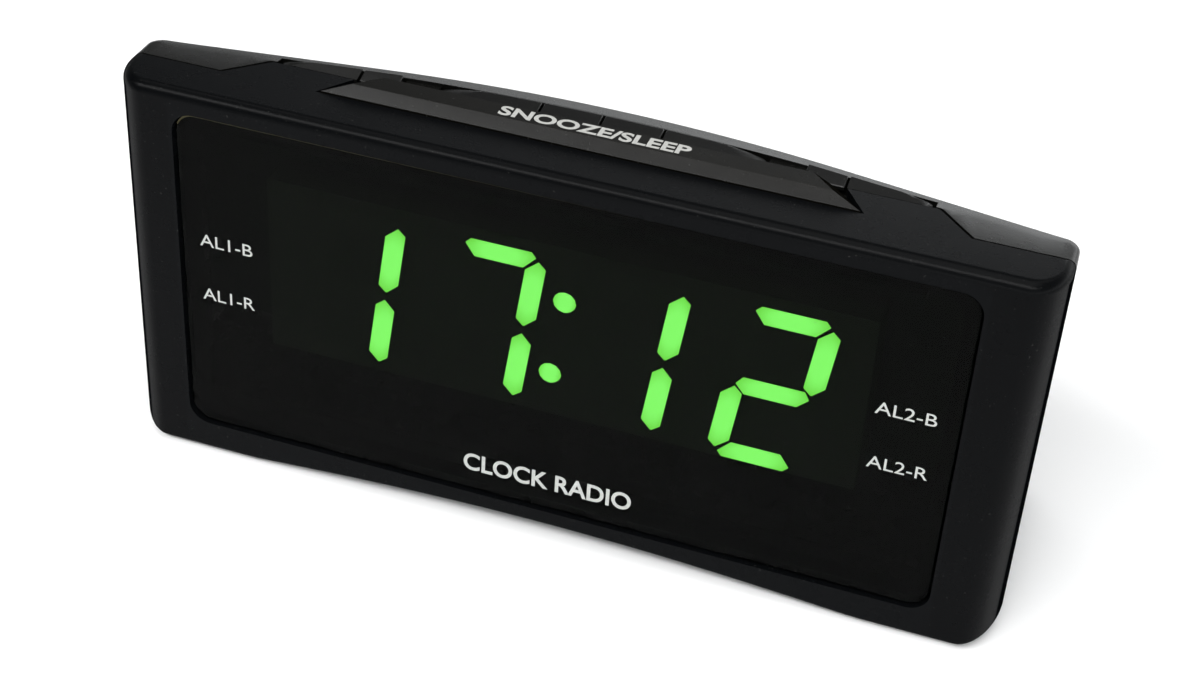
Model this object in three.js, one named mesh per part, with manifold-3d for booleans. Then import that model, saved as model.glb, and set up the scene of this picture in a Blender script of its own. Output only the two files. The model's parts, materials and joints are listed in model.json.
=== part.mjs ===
// Clock radio: an alarm clock with a large LED display and an FM radio in a thin wedge-shaped case.
//
// Millimetres, +Z up. The face looks towards -Y and leans back. The origin is the centre of the
// base's footprint, on the table. Most pieces live in the "face" group, whose own frame is square to
// the face: x to the right, y into the case, z up along the face, origin at the window's centre.
import * as THREE from 'three';
import Module from 'manifold-3d';
import { ConvexGeometry } from 'three/addons/geometries/ConvexGeometry.js';
import { mergeVertices } from 'three/addons/utils/BufferGeometryUtils.js';

const wasm = await Module();
wasm.setup();

// ---- Driving dimensions -------------------------------------------------------------------------

const LEAN = THREE.MathUtils.degToRad(10);
const WALL = 2.2;
const GAP = 0.35;
const SEAT_GAP = 0.3;

// Case outline, square to the face.
const HALF_WIDTH = 77.7;
const FACE_TOP = 35;
const FACE_BOTTOM = -36.1;
const TOP_CORNER_RADIUS = 3;
const BOTTOM_CORNER_RADIUS = 5;
const FRONT_EDGE_WIDTH = 6;
const FRONT_EDGE_DEPTH = 8;
const SIDE_DRAFT = 0.04;
const ARCH_HALF_WIDTH = 55;
const ARCH_RISE = 2.5;

// Rear wall: a shallow arc between two straight wings, raked so that the base is deeper than the top.
const TOP_DEPTH = 24.1;
const REAR_ARC_RADIUS = 247;
const REAR_ARC_HALF_WIDTH = 39.5;
const REAR_WING_SLOPE = REAR_ARC_HALF_WIDTH / REAR_ARC_RADIUS;
const REAR_RAKE = 0.366;
const REAR_CORNER_RADIUS = 3.8;

// Where the front bezel meets the rear housing; the bezel carries the top panel's two wings.
const SPLIT_DEPTH = 9.1;
const PANEL_DEPTH = 15.3;
const PANEL_FRONT_HALF_WIDTH = 61.8;
const PANEL_REAR_HALF_WIDTH = 55.6;

// Window and lens.
const WINDOW_WIDTH = 133;
const WINDOW_HEIGHT = 62.2;
const WINDOW_RADIUS = 3.8;
const LENS_RECESS = 0.7;
const LENS_THICKNESS = 2;
const LEDGE = 3;

// Display: four slanted seven-segment digits and a colon.
const DIGIT_SCALE = 1.019;
const DIGIT_PITCH = 24.3;
const DIGITS_CENTRE = [-0.9, 1.6];
const DIGIT_SLANT = 0.127;
const COLON_RADIUS = 2;
const COLON_HALF_SPACING = 7.3;
const DISPLAY_SIZE = [103.2, 33.2];
const DISPLAY_CENTRE = [-0.7, 2.7];
const REFLECTOR_FRONT = 4.9;
const REFLECTOR_DEPTH = 7.5;

// Snooze bar and the eight small keys.
const BAR_FRONT_HALF_WIDTH = 44.6;
const BAR_REAR_HALF_WIDTH = 39;
const BAR_FRONT = 9.4;
const BAR_REAR = 15;
const BAR_TOP = 36.8;
const BAR_END_LEAN = 3.3;
const KEY_FRONT = 15.9;
const KEY_TRAVEL = 0.8;
const KEY_STEM = [16.3, 17.7];
const CHANNEL_FLOOR = 33;
const CHANNEL_HALF_WIDTH = 55;
const CHANNEL_REAR_MARGIN = 3.5;
const CHANNEL_END_MARGIN = 1.4;
const KEY_END_DROP = 1;
const KEYS = [
  { name: 'alarm_1', from: -54.4, to: -41, slope: 0.3, crest: -46.7 },
  { name: 'alarm_2', from: -40.6, to: -34, slope: 0.3 },
  { name: 'hour', from: -27.4, to: -10.5, slope: 0.15, crest: -18.7 },
  { name: 'minute', from: -10.1, to: -0.2, slope: 0.15 },
  { name: 'tune_down', from: 0.2, to: 10.1, slope: 0.15 },
  { name: 'tune_up', from: 10.5, to: 27.4, slope: 0.15, crest: 18.7 },
  { name: 'volume', from: 34, to: 40.6, slope: 0.3 },
  { name: 'power', from: 41, to: 54.4, slope: 0.3, crest: 46.7 },
];

// Boards.
const BOARD_THICKNESS = 1.6;
const KEY_BOARD_TOP = 25.8;
const SWITCH_HEIGHT = 3.5;
const PLUNGER_TOP = 30.6;
const DISPLAY_BOARD_FRONT = 14;
const MAIN_BOARD_FRONT = 19;

// Rear fittings.
const SPEAKER_AT = [42, -2];
const SPEAKER_RADIUS = 22.5;
const JACK_AT = [-40, -12];
const AERIAL_AT = [-20, 10];
const SCREWS = [
  { name: 'screw_top_left', x: -71.3, z: 27, seat: 13.6 },
  { name: 'screw_top_right', x: 71.3, z: 27, seat: 13.6 },
  { name: 'screw_bottom_left', x: -71.3, z: -22, seat: 25 },
  { name: 'screw_bottom_right', x: 71.3, z: -22, seat: 25 },
];

// Base.
const FOOT_HEIGHT = 1.5;
const FOOT_RADIUS = 4;
const CELL_RADIUS = 10;
const CELL_HEIGHT = 3.2;
const DOOR_SIZE = [34, 24];

// The base's depth, which the rake and the lean give, and the window's centre over the table. The
// depth is taken at the arch's crown, where the rear wall stands furthest back.
const BASE_REAR = (TOP_DEPTH + REAR_RAKE * (FACE_TOP - FACE_BOTTOM)) / (1 + REAR_RAKE * Math.tan(LEAN));
const REAR_BATTER = Math.tan(Math.atan(REAR_RAKE) - LEAN);
const BASE_DEPTH = BASE_REAR / Math.cos(LEAN) - ARCH_RISE * REAR_BATTER;
const FACE_Y = -BASE_DEPTH / 2 - FACE_BOTTOM * Math.sin(LEAN);
const FACE_Z = FOOT_HEIGHT - FACE_BOTTOM * Math.cos(LEAN);
const FLOOR_TOP = FOOT_HEIGHT + ARCH_RISE + 2;
const DOOR_Y = BASE_DEPTH / 2 - 21;

// ---- Materials ----------------------------------------------------------------------------------

const plastic = (color, roughness) => new THREE.MeshStandardMaterial({ color, roughness, metalness: 0 });
const metal = (color, roughness) => new THREE.MeshStandardMaterial({ color, roughness, metalness: 1 });
const BEZEL_BLACK = plastic(0x1c1e21, 0.55);
const HOUSING_BLACK = plastic(0x1a1a19, 0.6);
const GLOSS_BLACK = plastic(0x1d1c18, 0.25);
const LENS_BLACK = plastic(0x0b0e0c, 0.08);
const REFLECTOR_GREY = plastic(0x20211f, 0.7);
const LED_GREEN = plastic(0x7dff63, 0.4);
const BOARD_GREEN = plastic(0x1f5a34, 0.5);
const CHIP_BLACK = plastic(0x141414, 0.5);
const CABLE_GREY = plastic(0x9a9a98, 0.5);
const CAPACITOR_BLUE = plastic(0x1c2f5c, 0.35);
const RUBBER_BLACK = plastic(0x161616, 0.9);
const PAPER_BLACK = plastic(0x191817, 0.85);
const PLATED_STEEL = metal(0xb9bab8, 0.35);
const FERRITE = metal(0x3a3a3c, 0.6);

// ---- Solids -------------------------------------------------------------------------------------

/** A solid that can be joined and cut, from any closed three.js geometry. */
function solid(geometry) {
  geometry.deleteAttribute('normal');
  geometry.deleteAttribute('uv');
  const merged = mergeVertices(geometry, 1e-4);
  return new wasm.Manifold(new wasm.Mesh({
    numProp: 3,
    vertProperties: new Float32Array(merged.attributes.position.array),
    triVerts: new Uint32Array(merged.index.array),
  }));
}

/** The three.js geometry of a solid. */
function surface(body) {
  const mesh = body.getMesh();
  const geometry = new THREE.BufferGeometry();
  geometry.setAttribute('position', new THREE.BufferAttribute(mesh.vertProperties, 3));
  geometry.setIndex(new THREE.BufferAttribute(mesh.triVerts, 1));
  geometry.computeVertexNormals();
  return geometry;
}

/** Adds one named piece to a group. */
function addPart(group, name, body, material) {
  const mesh = new THREE.Mesh(surface(body), material);
  mesh.name = name;
  group.add(mesh);
  return mesh;
}

const union = (...bodies) => bodies.reduce((all, body) => all.add(body));
const cut = (body, ...tools) => tools.reduce((left, tool) => left.subtract(tool), body);

/** An outline drawn in x-z, filled from y = near to y = far. */
function sheetY(shape, near, far) {
  const options = { depth: far - near, bevelEnabled: false, curveSegments: 6 };
  return new THREE.ExtrudeGeometry(shape, options).rotateX(Math.PI / 2).translate(0, far, 0);
}

/** An outline drawn in x-y, filled from z = low to z = high. */
function sheetZ(shape, low, high, curveSegments = 6) {
  const options = { depth: high - low, bevelEnabled: false, curveSegments };
  return new THREE.ExtrudeGeometry(shape, options).translate(0, 0, low);
}

/** An outline drawn in y-z, filled from x = left to x = right. */
function sheetX(shape, left, right) {
  const geometry = new THREE.ExtrudeGeometry(shape, { depth: right - left, bevelEnabled: false });
  const axes = [new THREE.Vector3(0, 1, 0), new THREE.Vector3(0, 0, 1), new THREE.Vector3(1, 0, 0)];
  return geometry.applyMatrix4(new THREE.Matrix4().makeBasis(...axes)).translate(left, 0, 0);
}

/** A box from its lowest to its highest corner. */
function block(low, high) {
  const size = high.map((value, i) => value - low[i]);
  const centre = high.map((value, i) => (value + low[i]) / 2);
  return new THREE.BoxGeometry(...size).translate(...centre);
}

/** A round bar along y. */
const barY = (radius, near, far, sides = 24) =>
  new THREE.CylinderGeometry(radius, radius, far - near, sides).translate(0, (near + far) / 2, 0);

/** A round bar along z. */
const barZ = (radius, low, high, sides = 24) => barY(radius, low, high, sides).rotateX(Math.PI / 2);

/** A closed outline from its corner points. */
const outline = (points) => new THREE.Shape(points.map(([x, y]) => new THREE.Vector2(x, y)));

/** A piece turned about z from a profile of radius and height points. */
function turned(profile, sides = 20) {
  const points = profile.map(([radius, height]) => new THREE.Vector2(radius, height));
  return new THREE.LatheGeometry(points, sides).rotateX(Math.PI / 2);
}

/** A rectangle with round corners; the radius can differ between its top and its bottom. */
function roundRect(left, bottom, right, top, topRadius, bottomRadius = topRadius) {
  const shape = new THREE.Shape();
  shape.moveTo(left + bottomRadius, bottom);
  shape.lineTo(right - bottomRadius, bottom);
  shape.absarc(right - bottomRadius, bottom + bottomRadius, bottomRadius, -Math.PI / 2, 0);
  shape.lineTo(right, top - topRadius);
  shape.absarc(right - topRadius, top - topRadius, topRadius, 0, Math.PI / 2);
  shape.lineTo(left + topRadius, top);
  shape.absarc(left + topRadius, top - topRadius, topRadius, Math.PI / 2, Math.PI);
  shape.lineTo(left, bottom + bottomRadius);
  shape.absarc(left + bottomRadius, bottom + bottomRadius, bottomRadius, Math.PI, 1.5 * Math.PI);
  return shape;
}

/** Moves a geometry that was drawn over the table into the face's own frame. */
const fromTable = (geometry) => geometry.translate(0, -FACE_Y, -FACE_Z).rotateX(LEAN);

// ---- The case -----------------------------------------------------------------------------------

/** Depth of the rear wall at the height of the case's top. */
function rearDepth(x) {
  const beyondArc = Math.max(Math.abs(x) - REAR_ARC_HALF_WIDTH, 0);
  const onArc = Math.min(Math.abs(x), REAR_ARC_HALF_WIDTH);
  return TOP_DEPTH - onArc ** 2 / (2 * REAR_ARC_RADIUS) - beyondArc * REAR_WING_SLOPE;
}

/** A frame on the rear wall's outer face, with its z axis pointing out of the wall. */
function wallFrame([x, z]) {
  const slope = -Math.sign(x) * Math.min(Math.abs(x) / REAR_ARC_RADIUS, REAR_WING_SLOPE);
  const frame = new THREE.Group();
  frame.position.set(x, rearDepth(x) + REAR_RAKE * (FACE_TOP - z), z);
  frame.up.set(0, 0, 1);
  frame.lookAt(frame.position.clone().add(new THREE.Vector3(-slope, 1, REAR_RAKE)));
  frame.updateMatrix();
  return frame;
}

/** Narrows a geometry towards the rear by the sides' draft, which starts where the front corners end. */
function taper(geometry) {
  const place = geometry.attributes.position;
  for (let i = 0; i < place.count; i += 1) {
    const beyond = place.getY(i) - FRONT_EDGE_DEPTH;
    place.setX(i, place.getX(i) * (1 - SIDE_DRAFT * beyond / HALF_WIDTH));
  }
  return geometry;
}

/** Plan outline of the case with its front corners rolled back. */
function frontPlan(halfWidth, front, cornerWidth, cornerDepth) {
  const back = BASE_DEPTH + 10;
  const backHalfWidth = halfWidth - SIDE_DRAFT * (back - front - cornerDepth);
  const centreX = halfWidth - cornerWidth;
  const centreY = front + cornerDepth;
  const shape = new THREE.Shape();
  shape.moveTo(backHalfWidth, back);
  shape.lineTo(-backHalfWidth, back);
  shape.lineTo(-halfWidth, centreY);
  shape.absellipse(-centreX, centreY, cornerWidth, cornerDepth, Math.PI, 1.5 * Math.PI);
  shape.lineTo(centreX, front);
  shape.absellipse(centreX, centreY, cornerWidth, cornerDepth, -Math.PI / 2, 0);
  return shape;
}

/** Plan outline of the case's rear, at the height where z is zero. */
function rearPlan(halfWidth, inset) {
  const depthAt = (x) => rearDepth(x) + REAR_RAKE * FACE_TOP - inset;
  const corner = halfWidth - REAR_CORNER_RADIUS;
  const sideDepth = depthAt(halfWidth);
  const steps = 12;
  const shape = new THREE.Shape();
  shape.moveTo(-halfWidth, -REAR_RAKE * FACE_TOP - 10);
  shape.lineTo(halfWidth, -REAR_RAKE * FACE_TOP - 10);
  shape.lineTo(halfWidth, sideDepth - REAR_CORNER_RADIUS);
  shape.quadraticCurveTo(halfWidth, sideDepth, corner, depthAt(corner));
  for (let step = 0; step <= steps; step += 1) {
    const x = REAR_ARC_HALF_WIDTH * (1 - 2 * step / steps);
    shape.lineTo(x, depthAt(x));
  }
  shape.lineTo(-corner, depthAt(corner));
  shape.quadraticCurveTo(-halfWidth, sideDepth, -halfWidth, sideDepth - REAR_CORNER_RADIUS);
  return shape;
}

/** The case's outside, or with an inset its inside. */
function caseSolid(inset, floor) {
  const halfWidth = HALF_WIDTH - inset;
  const bottom = FACE_BOTTOM + inset;
  const top = FACE_TOP - inset;
  const shape = roundRect(-halfWidth, bottom, halfWidth, top, TOP_CORNER_RADIUS, BOTTOM_CORNER_RADIUS);
  const face = taper(sheetY(shape, inset, BASE_DEPTH + 10));
  const front = sheetZ(frontPlan(halfWidth, inset, FRONT_EDGE_WIDTH, FRONT_EDGE_DEPTH), -60, 50);
  const rear = sheetZ(rearPlan(halfWidth, inset), -60, 50);
  taper(rear.applyMatrix4(new THREE.Matrix4().makeShear(0, 0, 0, 0, 0, -REAR_RAKE)));
  const aboveFloor = fromTable(block([-100, -60, floor], [100, 90, 120]));
  return solid(face).intersect(solid(front)).intersect(solid(rear)).intersect(solid(aboveFloor));
}

/** The shallow arch under the case, right through from front to back. */
function archCutter() {
  const radius = (ARCH_HALF_WIDTH ** 2 + ARCH_RISE ** 2) / (2 * ARCH_RISE);
  const halfAngle = Math.asin(ARCH_HALF_WIDTH / radius);
  const shape = new THREE.Shape();
  shape.moveTo(ARCH_HALF_WIDTH, -10);
  shape.lineTo(ARCH_HALF_WIDTH, 0);
  shape.absarc(0, ARCH_RISE - radius, radius, Math.PI / 2 - halfAngle, Math.PI / 2 + halfAngle);
  shape.lineTo(-ARCH_HALF_WIDTH, -10);
  return solid(fromTable(sheetY(shape, -60, 90).translate(0, 0, FOOT_HEIGHT)));
}

/** The part of space that the front bezel may fill; grow widens it by a gap for the rear housing. */
function bezelZone(grow) {
  const front = block([-100, -20, -60], [100, SPLIT_DEPTH + grow, 60]);
  const panel = outline([
    [-PANEL_FRONT_HALF_WIDTH - 1.5 * grow, SPLIT_DEPTH - 1],
    [PANEL_FRONT_HALF_WIDTH + 1.5 * grow, SPLIT_DEPTH - 1],
    [PANEL_FRONT_HALF_WIDTH + 1.5 * grow, SPLIT_DEPTH],
    [PANEL_REAR_HALF_WIDTH + 1.5 * grow, PANEL_DEPTH + grow],
    [-PANEL_REAR_HALF_WIDTH - 1.5 * grow, PANEL_DEPTH + grow],
    [-PANEL_FRONT_HALF_WIDTH - 1.5 * grow, SPLIT_DEPTH],
  ]);
  return union(solid(front), solid(sheetZ(panel, FACE_TOP - 2 * WALL, 60)));
}

/** Plan corners of the snooze bar, grown by a clearance on its front and its two slanted ends. */
function barPlan(grow, rear = BAR_REAR) {
  return [
    [-BAR_FRONT_HALF_WIDTH - 2 * grow, BAR_FRONT - grow],
    [BAR_FRONT_HALF_WIDTH + 2 * grow, BAR_FRONT - grow],
    [BAR_REAR_HALF_WIDTH + 1.4 * grow, rear],
    [-BAR_REAR_HALF_WIDTH - 1.4 * grow, rear],
  ];
}

function windowShape(grow, radius) {
  const halfWidth = WINDOW_WIDTH / 2 + grow;
  const halfHeight = WINDOW_HEIGHT / 2 + grow;
  return roundRect(-halfWidth, -halfHeight, halfWidth, halfHeight, radius);
}

/** The front bezel: face frame, lens ledge, top panel wings, screw posts and board posts. */
function frontBezel(outside, inside) {
  const shell = outside.subtract(inside).intersect(bezelZone(0));
  const ledge = solid(sheetY(windowShape(2.4, WINDOW_RADIUS + 2), WALL - 0.5, 4.5)).intersect(outside);
  const posts = SCREWS.map(({ x, z, seat }) => solid(barY(3, 1.5, seat - 2.3, 16).translate(x, 0, z)));
  const boardPosts = [];
  for (const side of [-1, 1]) {
    for (const z of [-9, 18]) {
      boardPosts.push(solid(barY(2, 3.5, DISPLAY_BOARD_FRONT - SEAT_GAP, 12).translate(66 * side, 0, z)));
    }
    const keyBoardPost = barZ(2, KEY_BOARD_TOP + SEAT_GAP, FACE_TOP - 1, 12).translate(53 * side, 6.7, 0);
    boardPosts.push(solid(keyBoardPost));
  }
  const body = union(shell, ledge, ...posts, ...boardPosts);
  const lensSeat = LENS_RECESS + LENS_THICKNESS + SEAT_GAP;
  const window = solid(sheetY(windowShape(0, WINDOW_RADIUS), -5, lensSeat));
  const view = solid(sheetY(windowShape(-LEDGE, WINDOW_RADIUS), -5, 5));
  const barWell = solid(sheetZ(outline(barPlan(GAP, BAR_REAR + 2)), FACE_TOP - 2 * WALL, 50));
  const pilots = SCREWS.map(({ x, z, seat }) => solid(barY(1.35, 4, seat, 12).translate(x, 0, z)));
  return cut(body, window, view, barWell, ...pilots);
}

/** Rear edge of the key channel, which comes closer to the rear wall towards its ends. */
function channelRear(x) {
  const share = (x / CHANNEL_HALF_WIDTH) ** 2;
  return rearDepth(x) - CHANNEL_REAR_MARGIN * (1 - share) - CHANNEL_END_MARGIN * share;
}

/** The channel behind the top panel that holds the eight small keys. */
function channelOutline() {
  const steps = 8;
  const points = [[-CHANNEL_HALF_WIDTH, PANEL_DEPTH - 2], [CHANNEL_HALF_WIDTH, PANEL_DEPTH - 2]];
  for (let step = 0; step <= steps; step += 1) {
    const x = CHANNEL_HALF_WIDTH * (1 - 2 * step / steps);
    points.push([x, channelRear(x)]);
  }
  return outline(points);
}

/** Slots through the rear wall in front of the speaker. */
function grilleSlots() {
  const frame = wallFrame(SPEAKER_AT);
  const reach = SPEAKER_RADIUS - 4;
  const rows = [-4, -3, -2, -1, 0, 1, 2, 3, 4];
  return rows.map((row) => {
    const height = row * 4;
    const halfLength = Math.sqrt(reach ** 2 - height ** 2);
    const slot = block([-halfLength, height - 1, -8], [halfLength, height + 1, 4]);
    return solid(slot.applyMatrix4(frame.matrix));
  });
}

/** The stepped ring inside the rear wall that the speaker sits in. */
function speakerSeat() {
  const frame = wallFrame(SPEAKER_AT);
  const ring = (inner, outer, low) =>
    turned([[inner, -1], [inner, low], [outer, low], [outer, -1], [inner, -1]]);
  const collar = ring(SPEAKER_RADIUS + 0.5, SPEAKER_RADIUS + 2, -5.5);
  const seat = ring(SPEAKER_RADIUS - 2, SPEAKER_RADIUS + 1, -3);
  return union(solid(collar.applyMatrix4(frame.matrix)), solid(seat.applyMatrix4(frame.matrix)));
}

/** The rear housing: back, underside, key channel, screw towers, speaker seat and cell holder. */
function rearHousing(outside, inside) {
  const shell = outside.subtract(inside);
  const channelFloor = solid(sheetZ(channelOutline(), CHANNEL_FLOOR - 1.8, CHANNEL_FLOOR + 0.5));
  const towers = SCREWS.map(({ x, z, seat }) => solid(barY(4.2, seat - 2, 60, 12).translate(x, 0, z)));
  const boardPosts = [[-50, -16], [-50, 10], [8, -16], [8, 10]].map(([x, z]) =>
    solid(barY(2.2, MAIN_BOARD_FRONT + BOARD_THICKNESS + SEAT_GAP, 60, 8).translate(x, 0, z)));
  const holderTop = FLOOR_TOP + 6.4;
  const holder = solid(fromTable(block([-19.5, DOOR_Y - 14, FOOT_HEIGHT], [19.5, DOOR_Y + 14, holderTop])));
  const added = union(channelFloor, speakerSeat(), holder, ...towers, ...boardPosts).intersect(outside);
  const body = shell.add(added).subtract(bezelZone(GAP));

  const channel = solid(sheetZ(channelOutline(), CHANNEL_FLOOR, 50));
  const stems = KEYS.map((key) => {
    const middle = (key.from + key.to) / 2;
    return solid(block([middle - 1.5, KEY_STEM[0] - GAP, 20], [middle + 1.5, KEY_STEM[1] + GAP, 40]));
  });
  const screwHoles = SCREWS.flatMap(({ x, z, seat }) => [
    solid(barY(3, seat, 70, 16).translate(x, 0, z)),
    solid(barY(1.6, seat - 5, 70, 8).translate(x, 0, z)),
  ]);
  const jackHole = solid(barY(3.6, 15, 70, 16).translate(JACK_AT[0], 0, JACK_AT[1]));
  const aerialHole = solid(barZ(2.5, -6, 6, 12).applyMatrix4(wallFrame(AERIAL_AT).matrix));
  const plate = solid(block([-17, -7, -0.4], [17, 7, 4]).applyMatrix4(wallFrame([-56, 12]).matrix));
  const doorRecess = solid(fromTable(block(
    [-DOOR_SIZE[0] / 2 - GAP, DOOR_Y - DOOR_SIZE[1] / 2 - GAP, -5],
    [DOOR_SIZE[0] / 2 + GAP, DOOR_Y + DOOR_SIZE[1] / 2 + GAP, FLOOR_TOP],
  )));
  const pocket = barZ(CELL_RADIUS + 0.6, -5, FLOOR_TOP + 4.9, 24).translate(0, DOOR_Y, 0);
  const feet = footPlaces().map(([x, y]) =>
    solid(fromTable(barZ(FOOT_RADIUS + 0.2, -5, FOOT_HEIGHT + 0.8, 16).translate(x, y, 0))));
  const openings = [...stems, ...screwHoles, ...grilleSlots(), jackHole, aerialHole, plate, ...feet];
  return cut(body, archCutter(), channel, ...openings, doorRecess, solid(fromTable(pocket)));
}

// ---- Display ------------------------------------------------------------------------------------

/** The seven segments of an upright digit 30.4 high, in x-z about its middle; k pulls their edges in. */
function segmentOutlines(k) {
  const top = [
    [-5.1, 15.2 - k], [5.1, 15.2 - k], [6 - k, 14.2],
    [4.1 - k / 2, 11.9 + k], [-4.1 + k / 2, 11.9 + k], [-6 + k, 14.2],
  ];
  const side = [
    [6.5, 13.6 - k], [7.9 - k, 12.4 - k / 2], [7.9 - k, 2.6],
    [6, 0.7 + k], [4.5 + k, 2 + k / 2], [4.5 + k, 11.7 - k / 2],
  ];
  const middle = [
    [-5, 1.3 - k], [5, 1.3 - k], [6 - k, -0.2],
    [4.3, -2 + k], [-4.3, -2 + k], [-6 + k, -0.2],
  ];
  const flip = (points, signX, signZ) => points.map(([x, z]) => [signX * x, signZ * z]);
  return [top, side, flip(side, 1, -1), flip(top, 1, -1), flip(side, -1, -1), flip(side, -1, 1), middle];
}

/** Every lit shape of the display: the segments of four digits and the colon's two dots. */
function displayOutlines(shrink) {
  const [centreX, centreZ] = DIGITS_CENTRE;
  const lean = ([x, z]) => [x + DIGIT_SLANT * z + centreX, z + centreZ];
  const shapes = [-1.5, -0.5, 0.5, 1.5].flatMap((place) =>
    segmentOutlines(shrink).map((points) => outline(points.map(([x, z]) =>
      lean([DIGIT_SCALE * x + place * DIGIT_PITCH, DIGIT_SCALE * z])))));
  for (const z of [-COLON_HALF_SPACING, COLON_HALF_SPACING]) {
    const [x, height] = lean([0, z]);
    shapes.push(new THREE.Shape().absarc(x, height, COLON_RADIUS - shrink, 0, 2 * Math.PI));
  }
  return shapes;
}

function displayRect(shrink) {
  const [halfWidth, halfHeight] = DISPLAY_SIZE.map((size) => size / 2 - shrink);
  const [x, z] = DISPLAY_CENTRE;
  return roundRect(x - halfWidth, z - halfHeight, x + halfWidth, z + halfHeight, 0.5);
}

/** The reflector block: one well per segment, open at the front and the back. */
function displayReflector() {
  const back = REFLECTOR_FRONT + REFLECTOR_DEPTH;
  const body = solid(sheetY(displayRect(0), REFLECTOR_FRONT, back));
  const wells = displayOutlines(0).map((shape) => solid(sheetY(shape, REFLECTOR_FRONT - 1, back + 1)));
  return cut(body, ...wells);
}

/** The clear resin cast behind the reflector, with one light bar standing in each well. */
function displayResin() {
  const back = REFLECTOR_FRONT + REFLECTOR_DEPTH;
  const slab = solid(sheetY(displayRect(0.6), back + SEAT_GAP, back + 1.3));
  const front = REFLECTOR_FRONT + 0.2;
  const lightBars = displayOutlines(0.3).map((shape) => solid(sheetY(shape, front, back + 0.8)));
  return union(slab, ...lightBars);
}

function addDisplay(face) {
  const lens = sheetY(windowShape(-GAP, WINDOW_RADIUS), LENS_RECESS, LENS_RECESS + LENS_THICKNESS);
  addPart(face, 'display_lens', solid(lens), LENS_BLACK);
  addPart(face, 'display_reflector', displayReflector(), REFLECTOR_GREY);
  addPart(face, 'display_resin', displayResin(), LED_GREEN);
  const boardBack = DISPLAY_BOARD_FRONT + BOARD_THICKNESS;
  const board = block([-68.4, DISPLAY_BOARD_FRONT, -15], [68.4, boardBack, 21.5]);
  addPart(face, 'display_board', solid(board), BOARD_GREEN);
}

// ---- Keys ---------------------------------------------------------------------------------------

/** The snooze bar's plan as a solid whose two ends lean in above the top panel. */
function barBlank() {
  const shoulder = FACE_TOP + 0.1;
  const top = BAR_TOP + 1;
  const lean = BAR_END_LEAN * (top - shoulder) / (BAR_TOP - shoulder);
  const level = (z, inset) => barPlan(0).map(([x, y]) => new THREE.Vector3(x - Math.sign(x) * inset, y, z));
  return solid(new ConvexGeometry([...level(31.6, 0), ...level(shoulder, 0), ...level(top, lean)]));
}

/** The long snooze bar: a sloping front, a flat top, a retaining flange and a stem for its switch. */
function snoozeBar() {
  const profile = outline([
    [BAR_FRONT - 1, 20], [BAR_FRONT - 1, FACE_TOP + 0.2], [BAR_FRONT, FACE_TOP + 0.2],
    [BAR_FRONT + 1.7, BAR_TOP], [BAR_REAR - 0.2, BAR_TOP], [BAR_REAR, BAR_TOP - 0.2], [BAR_REAR, 20],
  ]);
  const cap = barBlank().intersect(solid(sheetX(profile, -60, 60)));
  const flange = solid(sheetZ(outline(barPlan(0.8)), 31.2, 32.3));
  const hollow = solid(block([-34, BAR_FRONT + 1.6, 30], [34, BAR_REAR - 1.6, 35]));
  const stem = solid(block([-2, BAR_FRONT + 1, PLUNGER_TOP + SEAT_GAP], [2, BAR_REAR - 1, 35.5]));
  return cut(union(cap, flange), hollow).add(stem);
}

/** Outline in x-z of the space under a key's top: past its crest the top falls away to its outer end. */
function keyEnd({ from, to, crest }) {
  const side = Math.sign(crest);
  const end = side > 0 ? to : from;
  const level = FACE_TOP + 0.4;
  return outline([[-80 * side, 20], [-80 * side, 50], [crest - 4 * side, 50], [crest, level],
    [end, level - KEY_END_DROP], [end + side, 20]]);
}

/** A small key: a cap that rises towards the rear arc and follows it, and a stem down to its switch. */
function keyCap(key) {
  const underside = CHANNEL_FLOOR + KEY_TRAVEL + 0.15;
  const rearAt = (x) => channelRear(x) - GAP - 0.1;
  const front = FACE_TOP - 0.3;
  const plan = outline([
    [key.from, KEY_FRONT], [key.to, KEY_FRONT],
    [key.to, rearAt(key.to)], [key.from, rearAt(key.from)],
  ]);
  const profile = outline([
    [KEY_FRONT - 1, 20], [KEY_FRONT - 1, front - key.slope],
    [KEY_FRONT + 8, front + 8 * key.slope], [KEY_FRONT + 8, 20],
  ]);
  const raised = solid(sheetZ(plan, underside, 50)).intersect(solid(sheetX(profile, -60, 60)));
  const cap = key.crest ? raised.intersect(solid(sheetY(keyEnd(key), 0, 60))) : raised;
  const middle = (key.from + key.to) / 2;
  const stemFoot = PLUNGER_TOP + SEAT_GAP;
  const stem = block([middle - 1.1, KEY_STEM[0], stemFoot], [middle + 1.1, KEY_STEM[1], underside + 0.5]);
  return cap.add(solid(stem));
}

/** A tactile switch under a key: its case on the key board, and its plunger. */
function addSwitch(face, name, x, y, size) {
  const half = size / 2;
  const foot = KEY_BOARD_TOP + SEAT_GAP;
  const top = foot + SWITCH_HEIGHT;
  const base = solid(block([x - half, y - half, foot], [x + half, y + half, top]));
  const well = solid(barZ(size / 4 + 0.3, top - 1.6, top + 1, 12).translate(x, y, 0));
  addPart(face, `switch_${name}`, base.subtract(well), PLATED_STEEL);
  const plunger = solid(barZ(size / 4, top - 0.25, PLUNGER_TOP, 12).translate(x, y, 0));
  addPart(face, `plunger_${name}`, plunger, CHIP_BLACK);
}

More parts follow.
